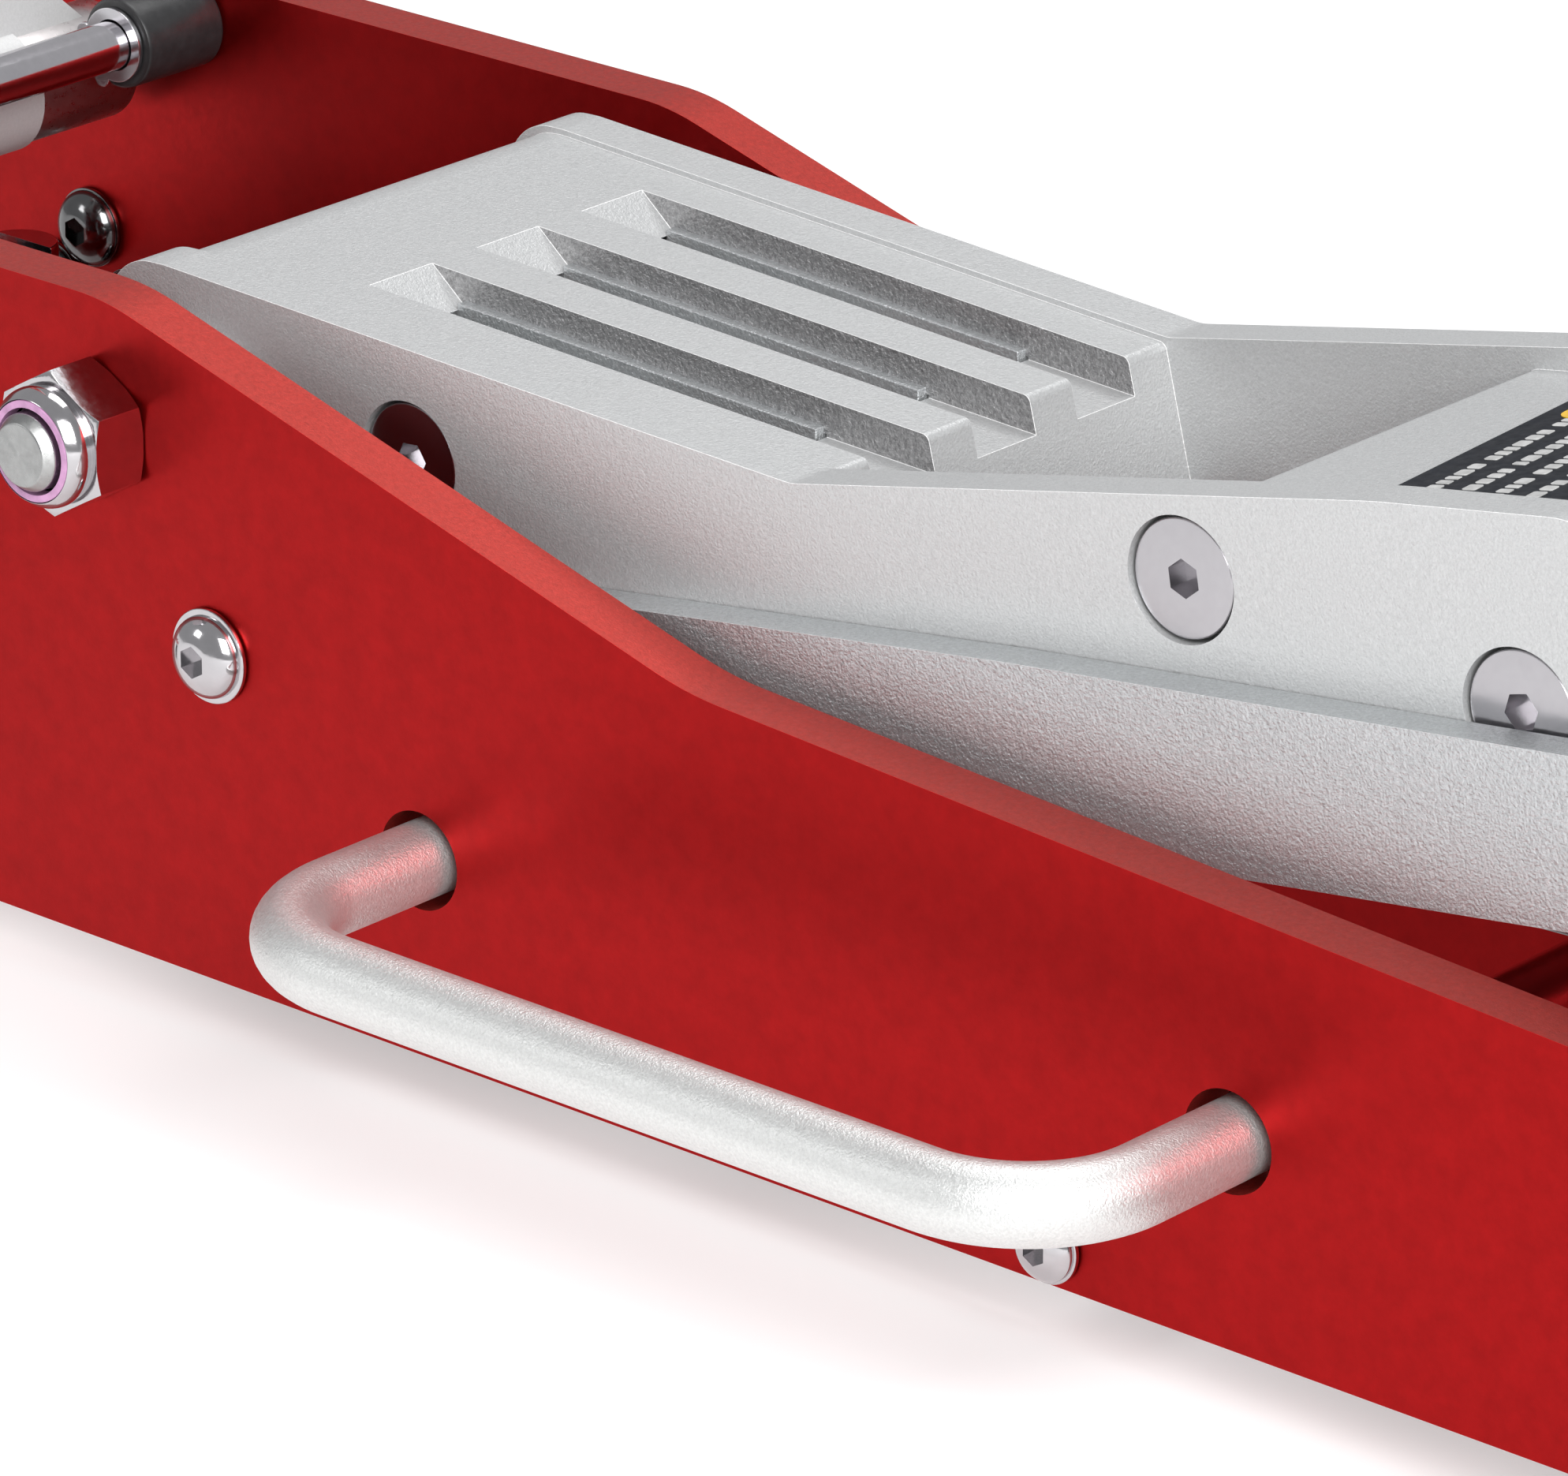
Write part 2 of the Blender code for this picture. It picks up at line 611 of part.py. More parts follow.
def caster_bracket(side):
    """An angle bracket on the plate's outer face, its shelf over the caster."""
    near = PLATE_HALF_WIDTH + GAP
    shelf_end = CASTER_SWIVEL[1] + 0.019
    top = 0.092
    inner = near + SHELF_THICKNESS
    outline = rounded(
        [
            (near, SHELF_Z, 0), (shelf_end, SHELF_Z, 0), (shelf_end, SHELF_Z + SHELF_THICKNESS, 0),
            (inner, SHELF_Z + SHELF_THICKNESS, 0.002), (inner, top, 0), (near, top, 0),
        ]
    )
    mesh = prism(outline, 0.056)
    mesh.transform(Matrix.Rotation(math.radians(90), 4, "Z"))
    if side < 0:
        mesh.transform(Matrix.Rotation(math.radians(180), 4, "Z"))
    name = side_name(side)
    bracket = make(name + "_caster_bracket", mesh, RED_PAINT, DATUM, (-0.1775, 0, 0))
    bevel(bracket, 0.0012)
    for point in BRACKET_SCREWS:
        drill(bracket, 0.0053, on_side(side, point, PLATE_HALF_WIDTH), 0.03, sides=12)
    drill(bracket, 0.0063, (CASTER_SWIVEL[0], side * CASTER_SWIVEL[1], SHELF_Z), 0.03, "Z", 20)
    screw = button_screw(0.00875, 0.0056, 0.0092, 0.005, PLATE_THICKNESS + SHELF_THICKNESS + 0.003, 0.006)
    for number, point in enumerate(BRACKET_SCREWS, 1):
        seat = on_side(side, point, PLATE_INNER - GAP)
        make(f"{name}_bracket_screw_{number}", screw, BRIGHT_STEEL, DATUM, seat, (90 * side, 0, 0))


def caster(side):
    """A swivelling fork with its kingpin and axle, and the wheel it carries."""
    name = side_name(side)
    x, y = CASTER_SWIVEL
    swivel = axis(name + "_caster_axis", (x, side * y, SHELF_Z), DATUM)
    top = SHELF_Z - GAP
    plate = cylinder(0.0165, 0.004, "Z", 24)
    fork = make(name + "_caster_fork", plate, STEEL, swivel, (x, side * y, top - 0.002))
    kingpin = SHELF_THICKNESS + 0.006
    join(fork, helper(cylinder(0.006, kingpin, "Z", 16), (x, side * y, top - 0.001 + kingpin / 2)))
    head = top + SHELF_THICKNESS + 2 * GAP + 0.002
    join(fork, helper(cylinder(0.0095, 0.004, "Z", 16), (x, side * y, head)))
    axle_x = x - CASTER_TRAIL
    cheek = rounded([(x - 0.012, top - 0.002, 0), (x + 0.012, top - 0.002, 0)])
    cheek += arc((axle_x, CASTER_AXLE_Z), 0.009, -20, -200, 8)
    for sign in (-1, 1):
        offset = sign * (CASTER_WIDTH / 2 + 0.0025)
        join(fork, helper(prism(cheek, 0.003), (0, side * y + offset, 0)))
    join(fork, helper(cylinder(0.004, CASTER_WIDTH + 0.012, "Y", 14), (axle_x, side * y, CASTER_AXLE_Z)))
    half = CASTER_WIDTH / 2
    profile = [(0.0043, half), (0.009, half), (0.011, half - 0.003), (0.018, half - 0.003)]
    profile += [(CASTER_RADIUS - 0.003, half - 0.0005), (CASTER_RADIUS, half - 0.004)]
    profile += [(r, -z) for r, z in reversed(profile)]
    wheel = turned(profile, "Y", sides=22, closed=True)
    make(name + "_caster_wheel", wheel, BLACK_PLASTIC, swivel, (axle_x, side * y, CASTER_AXLE_Z))


# ---- Lift arm ----
LEDGE = [(-0.024, 0.0802), (0.1129, 0.0984), (0.2213, 0.1128), (0.3239, 0.1243), (0.372, 0.1297)]
DECK_REAR = (-0.0057, 0.1392)
DECK_FRONT = (0.1615, 0.1317)
FRONT_PLATE = ((0.252, 0.1465), (0.330, 0.1602))


def arm_scale(x):
    """How wide the arm is at x, as a share of its nominal width."""
    return ARM_TAPER_REAR - ARM_TAPER_RATE * (x + 0.010)


def taper(obj):
    for vertex in obj.data.vertices:
        vertex.co.y *= arm_scale(vertex.co.x)


def arm_shell():
    """The upper casting: slotted rear deck, side walls, a pocket and a recessed front plate."""
    under = shift([(0.0560, 0.0910)] + LEDGE[1:], 0, -SHELL_OVERLAP)
    lower = [(-0.0180, 0.0940), (0.0560, 0.0955)] + under
    top = rounded(
        [
            (-0.0205, lower[0][1], 0), (-0.0215, 0.1385, 0.0125), (*DECK_REAR, 0.02), (*DECK_FRONT, 0.012),
            (0.3000, 0.1612, 0.15), (0.3440, 0.1683, 0.02), (0.3630, 0.1630, 0.012), (0.3720, 0.1400, 0),
        ]
    )
    outline = top + list(reversed(lower[1:]))
    shell = make("arm_shell", prism(outline, 2 * ARM_HALF_WIDTH), CAST_ALUMINIUM, ARM)
    channel = [(-0.05, 0.03), (0.45, 0.03), (0.45, 0.25), (-0.05, 0.25)]
    cut(shell, helper(prism(channel, 2 * ARM_INNER_HALF)))
    drop = 0.0013
    deck_thickness = 0.008
    sill_rear, face_foot, foot_z = 0.1350, 0.1685, 0.1020
    rear_foot = 0.1225
    deck = rounded(
        [
            (-0.0190, rear_foot, 0), (-0.0205, 0.1365, 0.0120), (DECK_REAR[0], DECK_REAR[1] - drop, 0.02),
            (DECK_FRONT[0] - 0.0004, DECK_FRONT[1] - drop, 0.002),
            (face_foot, foot_z, 0), (sill_rear, foot_z, 0),
            (sill_rear, DECK_FRONT[1] - deck_thickness + 0.0008, 0),
            (-0.0125, DECK_REAR[1] - deck_thickness, 0), (-0.0155, rear_foot, 0),
        ]
    )
    join(shell, helper(prism(deck, 2 * ARM_INNER_HALF + 0.005)))
    rear, front = FRONT_PLATE
    wall = 0.0052
    plate = rounded(
        [
            (rear[0], 0.1300, 0), (*rear, 0.004), (*front, 0.002), (front[0], 0.1380, 0),
            (front[0] - wall, 0.1380, 0), (front[0] - wall, front[1] - wall - 0.001, 0),
            (rear[0] + wall, rear[1] - wall + 0.001, 0), (rear[0] + wall, 0.1300, 0),
        ]
    )
    join(shell, helper(prism(plate, 2 * ARM_INNER_HALF + 0.005)))
    slot = [(0.0265, 0.16), (0.0275, 0.1374), (0.0385, 0.1285), (0.0385, 0.11), (sill_rear - 0.0005, 0.11)]
    slot += [(sill_rear - 0.0005, 0.1239), (0.175, 0.1222), (0.175, 0.16)]
    for y in SLOT_CENTRES_Y:
        cut(shell, helper(prism(slot, SLOT_WIDTH), (0, y, 0)))
    tie_x, tie_z = ARM_SCREWS[1]
    join(shell, helper(cylinder(0.0095, 2 * ARM_INNER_HALF + 0.004, "Y", 24), (tie_x, 0, tie_z - 0.0013)))
    bake(shell)
    taper(shell)
    drill(shell, BOSS_RADIUS + 2 * GAP, (0, 0, ARM_SHAFT_Z), sides=32)
    for x, z in ARM_SCREWS:
        drill(shell, 0.0063, (x, 0, z), 0.2, sides=12)
        for side in (-1, 1):
            depth = 0.0082
            outer = ARM_HALF_WIDTH * arm_scale(x)
            drill(shell, 0.0126, (x, side * (outer - depth + 0.01), z), 0.02, sides=20)
    shell.data = smooth(shell.data)


def arm_frame():
    """The lower casting: skirts with a ledge, shaft boss, crank lugs with their pin, and nose."""
    skirt_low = [(0.060, 0.0560), (0.2956, 0.0861), (0.3571, 0.0940), (SADDLE_PIVOT[0], 0.1045)]
    nose = arc(SADDLE_PIVOT, 0.0235, -90, 110, 12)
    ledge = [(0.060, 0.0914)] + LEDGE[1:]
    outline = skirt_low + nose + list(reversed(ledge))
    rebate = shift(ledge, 0, -SHELL_OVERLAP - GAP)
    rebate = [(0.04, rebate[0][1] - 0.0025)] + rebate[1:-1] + [(0.3730, rebate[-1][1])]
    rebate += [(0.3730, 0.20), (0.04, 0.20)]
    wall = SKIRT_HALF_WIDTH - SKIRT_INNER_HALF
    frame = None
    for side in (-1, 1):
        middle = side * (SKIRT_HALF_WIDTH + SKIRT_INNER_HALF) / 2
        skirt = helper(prism(outline, wall), (0, middle, 0))
        cut(skirt, helper(prism(rebate, 2 * (ARM_HALF_WIDTH + GAP))))
        mesh = baked(skirt)
        mesh.transform(Matrix.Translation((0, middle, 0)))
        bpy.data.objects.remove(skirt)
        if frame is None:
            frame = make("arm_frame", mesh, CAST_ALUMINIUM, ARM, (0, 0, 0))
            taper(frame)
        else:
            other = helper(mesh)
            taper(other)
    cheek = arc((0, ARM_SHAFT_Z), BOSS_RADIUS + 0.0006, 250, 60, 10)
    cheek += [(0.060, 0.1180), (0.094, 0.1060), (0.100, 0.0640), (0.068, 0.0590), (0.060, 0.0900)]
    for side in (-1, 1):
        join(frame, helper(prism(cheek, 0.008), (0, side * 0.0455, 0)))
    for side in (-1, 1):
        join(frame, helper(block(0.026, 0.018, 0.014), (0.083, side * 0.0505, 0.0695)))
    join(frame, helper(block(0.016, 0.112, 0.0085), (0.3530, 0, 0.1078)))
    join(frame, other)
    join(frame, helper(cylinder(BOSS_RADIUS, 2 * (PLATE_INNER - 0.0006), "Y", 32), (0, 0, ARM_SHAFT_Z)))
    crank = Vector(CRANK_PIN) - Vector((0, ARM_SHAFT_Z))
    across = Vector((-crank.y, crank.x)).normalized()
    hub = Vector((0, ARM_SHAFT_Z))
    lug = [tuple(hub + across * 0.016), tuple(hub - across * 0.016)]
    turn = math.degrees(math.atan2(crank.y, crank.x))
    lug += arc(CRANK_PIN, 0.0105, turn - 90, turn + 90, 10)
    for side in (-1, 1):
        join(frame, helper(prism(lug, 0.009), (0, side * 0.0185, 0)))
    join(frame, helper(cylinder(CRANK_PIN_RADIUS, 0.042, "Y", 24), (CRANK_PIN[0], 0, CRANK_PIN[1])))
    bake(frame)
    drill(frame, ARM_SHAFT_RADIUS + GAP, (0, 0, ARM_SHAFT_Z), sides=20)
    drill(frame, 0.0063, on_side(0, ARM_SCREWS[0], 0), 0.104, sides=12)
    drill(frame, SADDLE_PIN_RADIUS + GAP, (SADDLE_PIVOT[0], 0, SADDLE_PIVOT[1]), sides=20)
    frame.data = smooth(frame.data)


def arm_fasteners():
    screw = countersunk_screw()
    for number, (x, z) in enumerate(ARM_SCREWS, 1):
        top = ARM_HALF_WIDTH * arm_scale(x) - 0.0009
        for side in (-1, 1):
            name = f"{side_name(side)}_arm_screw_{number}"
            make(name, screw, BRIGHT_STEEL, ARM, (x, side * top, z), (-90 * side, 0, 0))
    shaft("saddle_pin", SADDLE_PIN_RADIUS, 0.0665, SADDLE_PIVOT, BRIGHT_STEEL, ARM)


# ---- Saddle ----
def saddle_bracket():
    """Carries the saddle on the arm's nose and is kept level by the control rods."""
    px, pz = SADDLE_PIVOT
    hub = 0.0475
    bracket = make("saddle_bracket", cylinder(0.0155, 2 * hub, "Y", 24), STEEL, BRACKET, (px, 0, pz))
    outline = arc(SADDLE_PIVOT, 0.0158, 60, 200, 7) + arc(ROD_PIN, 0.0095, 232, 412, 10)
    join(bracket, helper(prism(outline, 0.050)))
    seat_x = px + SADDLE_OFFSET_X
    join(bracket, helper(cylinder(0.032, 0.0105, "Z", 32), (seat_x, 0, pz + 0.0147)))
    join(bracket, helper(cylinder(0.006, 0.074, "Y", 24), (ROD_PIN[0], 0, ROD_PIN[1])))
    drill(bracket, SADDLE_PIN_RADIUS + GAP, (px, 0, pz), sides=20)
    drill(bracket, 0.0093, (seat_x, 0, pz + 0.0177), 0.014, "Z", 24)


def saddle():
    """The round cup, with its stem, raised rim with four notches and rubber pad."""
    base = 0.0003
    floor, rim = base + 0.006, base + 0.018
    outer = 0.046
    profile = [(0, floor), (0.037, floor), (0.039, rim), (outer - 0.001, rim), (outer, rim - 0.0015)]
    profile += [(outer, base + 0.004), (0.040, base)]
    profile += [(0.009, base), (0.009, base - 0.0085), (0, base - 0.0085)]
    cup = make("saddle", turned(profile, sides=36), STEEL, SADDLE, POSITIONS[SADDLE.name])
    centre = Vector(POSITIONS[SADDLE.name])
    for angle in (0, 90):
        notch = block(0.12, 0.016, 0.010)
        cut(cup, helper(notch, centre + Vector((0, 0, floor + 0.0075)), (0, 0, angle)))
    pad = [(0, floor + 0.0075), (0.033, floor + 0.0075), (0.035, floor + 0.0060)]
    pad += [(0.035, floor + GAP), (0, floor + GAP)]
    make("saddle_pad", turned(pad, sides=32), RUBBER, SADDLE, centre)


def control_rods():
    """Two flat bars that keep the saddle level, parallel to the arm."""
    along = Vector(ROD_PIN) - Vector(ROD_ANCHOR)
    turn = math.degrees(math.atan2(along.y, along.x))
    outline = arc(ROD_ANCHOR, 0.0115, turn + 45, turn + 315, 14)
    outline += arc(ROD_PIN, 0.0095, turn - 125, turn + 125, 12)
    for side in (-1, 1):
        name = side_name(side) + "_control_rod"
        rod = make(name, prism(outline, 0.008), STEEL, RODS, (0, side * 0.032, 0))
        drill(rod, ROD_ANCHOR_RADIUS + GAP, on_side(side, ROD_ANCHOR, 0.032), 0.02, sides=28)
        drill(rod, 0.0063, on_side(side, ROD_PIN, 0.032), 0.02, sides=28)


def ram_rod():
    """The piston rod, with an upright slot in its head for the arm's crank pin."""
    rear = -0.100
    head = (CRANK_PIN[0] - 0.0140, CRANK_PIN[0] + 0.0135)
    length = head[0] - rear + 0.004
    rod = make("ram_rod", cylinder(0.0122, length, "X", 32), CHROME, DATUM, (rear + length / 2, 0, RAM_Z))
    size = head[1] - head[0]
    join(rod, helper(block(size, 0.025, 0.034), (sum(head) / 2, 0, RAM_Z)))
    corners = ((-1, -1), (1, -1), (1, 1), (-1, 1))
    slot = rounded(
        [(CRANK_PIN[0] + sx * 0.0071, RAM_Z + sz * 0.0112, 0.0035) for sx, sz in corners]
    )
    cut(rod, helper(prism(slot, 0.1)))


# ---- Handle and pump ----
def handle_yoke():
    """The cast socket that the handle stands in, on its shaft, with the arms of the pump roller."""
    x, z = YOKE_SHAFT
    yoke = make("handle_yoke", cylinder(0.0143, 0.080, "Y", 28), CAST_ALUMINIUM, YOKE, (x, 0, z))
    join(yoke, helper(cylinder(0.0135, 0.140, "Y", 28), (x, 0, z)))
    low, high = 0.0125, 0.092
    middle = Vector((x, 0, z)) + HANDLE_AXIS * (low + high) / 2
    join(yoke, helper(cylinder(0.0225, high - low, "Z", 28), middle, (0, -HANDLE_TILT, 0)))
    for side in (-1, 1):
        corners = ((0.015, 0.056), (0.015, 0.004), (0.062, 0.003), (0.062, 0.0105))
        gusset = prism([(side * y, up) for y, up in corners], 0.015)
        gusset.transform(Matrix.Rotation(math.radians(90), 4, "Z"))
        join(yoke, helper(gusset, (x, 0, z), (0, -HANDLE_TILT, 0)))
    collar = Vector((x, 0, z)) + HANDLE_AXIS * (high - 0.007)
    join(yoke, helper(cylinder(0.0250, 0.014, "Z", 28), collar, (0, -HANDLE_TILT, 0)))
    for side in (-1, 1):
        turn = ROLLER_REST_ANGLE
        arm = arc(ROLLER, 0.0075, turn - 90, turn + 90, 8) + arc(YOKE_SHAFT, 0.014, turn + 120, turn + 240, 6)
        join(yoke, helper(prism(arm, 0.006), (0, side * 0.0145, 0)))
    slot = block(0.030, 0.0225, 0.030)
    cut(yoke, helper(slot, (ROLLER[0] - 0.0020, 0, ROLLER[1])))
    join(yoke, helper(cylinder(0.004, 0.036, "Y", 20), (ROLLER[0], 0, ROLLER[1])))
    bore = Vector((x, 0, z)) + HANDLE_AXIS * (0.0225 + 0.06)
    cut(yoke, helper(cylinder(HANDLE_RADIUS + GAP, 0.12, "Z", 28), bore, (0, -HANDLE_TILT, 0)))
    drill(yoke, YOKE_SHAFT_RADIUS + GAP, (x, 0, z), sides=28)
    clamp = Vector((x, 0, z)) + HANDLE_AXIS * 0.085
    across = Vector((HANDLE_AXIS.z, 0, -HANDLE_AXIS.x))
    cut(yoke, helper(cylinder(0.0043, 0.03, "X", 16), clamp + across * 0.028, (0, -HANDLE_TILT, 0)))
    knob = [(0, 0.0125), (0.0085, 0.0125), (0.010, 0.011), (0.010, 0.002), (0.0085, 0)]
    knob += [(0.004, 0), (0.004, -0.008), (0, -0.008)]
    screw = turned(knob, "X", sides=16)
    make("handle_clamp_screw", screw, BLACK_PLASTIC, YOKE, clamp + across * 0.0255, (0, -HANDLE_TILT, 0))
    roller = ring(ROLLER_RADIUS, 0.0043, 0.021, sides=28)
    make("pump_roller", roller, STEEL, YOKE, (ROLLER[0], 0, ROLLER[1]))


def handle():
    """The steel handle tube and the rubber grip over its top end."""
    foot = Vector((*YOKE_SHAFT, 0)).xzy
    start, end = 0.024, HANDLE_LENGTH - 0.004
    tilt = (0, -HANDLE_TILT, 0)
    bore = HANDLE_RADIUS - HANDLE_WALL
    profile = [(bore, end), (HANDLE_RADIUS, end), (HANDLE_RADIUS, start + 0.001)]
    profile += [(HANDLE_RADIUS - 0.001, start), (bore, start)]
    make("handle_tube", turned(profile, sides=28, closed=True), RED_PAINT, HANDLE, foot, tilt)
    low = HANDLE_LENGTH - 0.125
    inner = HANDLE_RADIUS + GAP
    grip = [(0, HANDLE_LENGTH), (GRIP_RADIUS - 0.003, HANDLE_LENGTH), (GRIP_RADIUS, HANDLE_LENGTH - 0.003)]
    ribs = 6
    for number in range(ribs):
        z = HANDLE_LENGTH - 0.016 - number * 0.017
        groove = GRIP_RADIUS - 0.0013
        grip += [(GRIP_RADIUS, z), (groove, z - 0.0015), (groove, z - 0.0045), (GRIP_RADIUS, z - 0.006)]
    grip += [(GRIP_RADIUS, low + 0.001), (GRIP_RADIUS - 0.001, low)]
    grip += [(inner, low), (inner, end + GAP), (0, end + GAP)]
    make("handle_grip", turned(grip, sides=20), RUBBER, HANDLE, foot, tilt)


def pump():
    """The pump plunger under the roller, the spring that lifts it, and the release valve."""
    top = PLUNGER_TOP
    profile = [(0, top), (0.0078, top), (0.0086, top - 0.001), (0.0086, top - 0.005), (0.007, top - 0.005)]
    profile += [(0.007, BLOCK_TOP - 0.008), (0, BLOCK_TOP - 0.008)]
    make("pump_plunger", turned(profile, sides=28), CHROME, DATUM, (PLUNGER_X, 0, 0))
    low, high = BLOCK_TOP + 0.005 + 0.0016, top - 0.005 - 0.0016
    turns, per_turn, coil = 4, 12, 0.0086
    path = []
    for number in range(turns * per_turn + 1):
        share = number / (turns * per_turn)
        angle = 2 * math.pi * turns * share
        path.append((coil * math.cos(angle), coil * math.sin(angle), low + (high - low) * share))
    spring = bent_bar(path, 0.0012, 1)
    make("pump_spring", spring, STEEL, DATUM, (PLUNGER_X, 0, 0))
    stem = [(0, 0.088), (0.008, 0.088), (0.009, 0.087), (0.009, 0.074)]
    stem += [(0.006, 0.074), (0.006, 0.044), (0, 0.044)]
    valve = make("release_valve", turned(stem, sides=18), BRIGHT_STEEL, DATUM, (*VALVE, 0))
    cut(valve, helper(block(0.03, 0.0032, 0.008), (*VALVE, 0.087)))


for side in (-1, 1):
    side_plate(side)
    carry_handle(side)
    caster_bracket(side)
    caster(side)
    front_wheel(side)
arm_shaft()
rod_anchors()
tie_bar()
stop_rod()
front_axle()
ram_cylinder(pump_block())
shaft("yoke_shaft", YOKE_SHAFT_RADIUS, PLATE_HALF_WIDTH - 0.0005, YOKE_SHAFT, BRIGHT_STEEL)
arm_shell()
arm_frame()
arm_fasteners()
saddle_bracket()
saddle()
control_rods()
ram_rod()
handle_yoke()
handle()
pump()
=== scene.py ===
"""The looks of the trolley jack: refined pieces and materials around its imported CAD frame.

All positions are in the chassis frame, in metres: x forward from the lift arm's shaft, z up from the
side plates' lower edge, y to the jack's left. ORIGIN is that frame's origin in the row frame.
"""

import math

import bmesh
import bpy
from mathutils import Euler, Matrix, Vector


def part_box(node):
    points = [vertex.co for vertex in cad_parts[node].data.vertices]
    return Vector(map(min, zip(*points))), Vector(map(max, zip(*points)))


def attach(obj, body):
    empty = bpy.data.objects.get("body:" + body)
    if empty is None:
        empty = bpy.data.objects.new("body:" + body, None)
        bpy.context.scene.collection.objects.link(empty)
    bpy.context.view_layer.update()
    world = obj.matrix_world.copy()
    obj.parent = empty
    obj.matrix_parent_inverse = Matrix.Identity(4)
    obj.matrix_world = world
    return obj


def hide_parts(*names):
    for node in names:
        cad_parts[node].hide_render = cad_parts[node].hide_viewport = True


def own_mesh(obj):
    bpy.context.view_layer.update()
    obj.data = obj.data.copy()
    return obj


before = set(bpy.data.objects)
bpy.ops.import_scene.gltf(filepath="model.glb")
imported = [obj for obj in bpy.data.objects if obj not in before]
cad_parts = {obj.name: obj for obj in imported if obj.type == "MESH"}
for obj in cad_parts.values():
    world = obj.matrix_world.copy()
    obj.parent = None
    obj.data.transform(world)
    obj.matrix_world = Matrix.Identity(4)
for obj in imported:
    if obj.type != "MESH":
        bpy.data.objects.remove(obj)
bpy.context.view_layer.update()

# ---- Dimensions, as in the CAD part ----
GAP = 0.0003
PLATE_HALF_WIDTH = 0.0905
PLATE_THICKNESS = 0.0127
PLATE_INNER = PLATE_HALF_WIDTH - PLATE_THICKNESS
PLATE_REAR_X = -0.222
PLATE_FRONT_X = 0.4706
PLATE_NOSE_Z = 0.0772
REAR_KNEE = (0.0026, 0.1402)
FRONT_KNEE = (0.1595, 0.0961)
ARM_SHAFT = (0, 0.1122)
ARM_SHAFT_RADIUS = 0.009
ARM_SHAFT_END = 0.1124
ROD_ANCHOR = (0.0314, 0.0713)
TIE_BAR = (0.2515, 0.0083)
STOP_ROD = (-0.1398, 0.1301)
STOP_ROD_RADIUS = 0.0055
STOP_SLEEVE_RADIUS = 0.0102
STOP_SLEEVE_INNER_END = 0.0542
YOKE_SHAFT = (-0.1627, 0.1185)
CARRY_HOLES_X = (0.0879, 0.2938)
CARRY_Z = 0.042
CARRY_REACH = 0.1435
CARRY_BEND = 0.028
WHEEL_RADIUS = 0.036
WHEEL_WIDTH = 0.029
FRONT_AXLE = (0.4446, 0.022)
CASTER_SWIVEL = (-0.176, 0.127)
CASTER_AXLE = (-0.186, 0.01)
CASTER_RADIUS = 0.024
CASTER_WIDTH = 0.018
SHELF_Z = 0.0455
SHELF_THICKNESS = 0.005
BRACKET_SCREWS = ((-0.1732, 0.0745), (-0.1862, 0.0594), (-0.16, 0.0583))
ARM_HALF_WIDTH = 0.0635
ARM_INNER_HALF = 0.052
SKIRT_HALF_WIDTH = 0.073
SKIRT_INNER_HALF = 0.056
SHELL_OVERLAP = 0.014
ARM_SCREWS = ((0.0615, 0.1126), (0.2567, 0.1352), (0.3346, 0.1285))
SLOT_CENTRES_Y = (-0.031, 0.0, 0.031)
SLOT_WIDTH = 0.018
LEDGE = [(0.1129, 0.0984), (0.2213, 0.1128), (0.3239, 0.1243), (0.372, 0.1297)]
DECK_REAR = (-0.0057, 0.1392)
DECK_FRONT = (0.1615, 0.1317)
FRONT_PLATE = ((0.252, 0.1465), (0.33, 0.1602))
SADDLE_PIVOT = (0.382, 0.128)
SADDLE_CENTRE = (0.39, 0.148)
BOSS_RADIUS = 0.017
CRANK_PIN = (-0.01647, 0.05659)
ROD_PIN = (0.4134, 0.0871)
RAM_Z = 0.0577
ROLLER_REST_ANGLE = 186
ROLLER = (-0.19254, 0.11536)
PLUNGER_X = -0.1867
PLUNGER_TOP = 0.10596
BLOCK_TOP = 0.06
VALVE = (-0.149, 0.031)
HANDLE_TILT = 12.0
HANDLE_LENGTH = 0.9
HANDLE_RADIUS = 0.016
GRIP_RADIUS = 0.0195
SIDES = (("right", -1), ("left", 1))

shaft_low, shaft_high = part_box("lift_arm_shaft")
ORIGIN = (shaft_low + shaft_high) / 2 - Vector((ARM_SHAFT[0], 0, ARM_SHAFT[1]))
HANDLE_AXIS = Vector((-math.sin(math.radians(HANDLE_TILT)), 0, math.cos(math.radians(HANDLE_TILT))))
ACROSS = Vector((HANDLE_AXIS.z, 0, -HANDLE_AXIS.x))
YOKE_CENTRE = Vector((YOKE_SHAFT[0], 0, YOKE_SHAFT[1]))
UPRIGHT_TILT = (0, -HANDLE_TILT, 0)


# ---- Mesh tools ----
def new_object(name, data):
    obj = bpy.data.objects.new(name, data)
    bpy.context.scene.collection.objects.link(obj)
    return obj


def finished(work, name):
    """Turns a bmesh into a mesh and frees it."""
    mesh = bpy.data.meshes.new(name)
    work.to_mesh(mesh)
    work.free()
    return mesh


def evaluated(mesh, *modifiers):
    """The mesh after modifiers, each a type and its settings."""
    obj = new_object("work", mesh)
    for kind, settings in modifiers:
        modifier = obj.modifiers.new(kind, kind)
        for key, value in settings.items():
            setattr(modifier, key, value)
    bpy.context.view_layer.update()
    graph = bpy.context.evaluated_depsgraph_get()
    result = bpy.data.meshes.new_from_object(
        obj.evaluated_get(graph), preserve_all_data_layers=True, depsgraph=graph
    )
    bpy.data.objects.remove(obj)
    return result


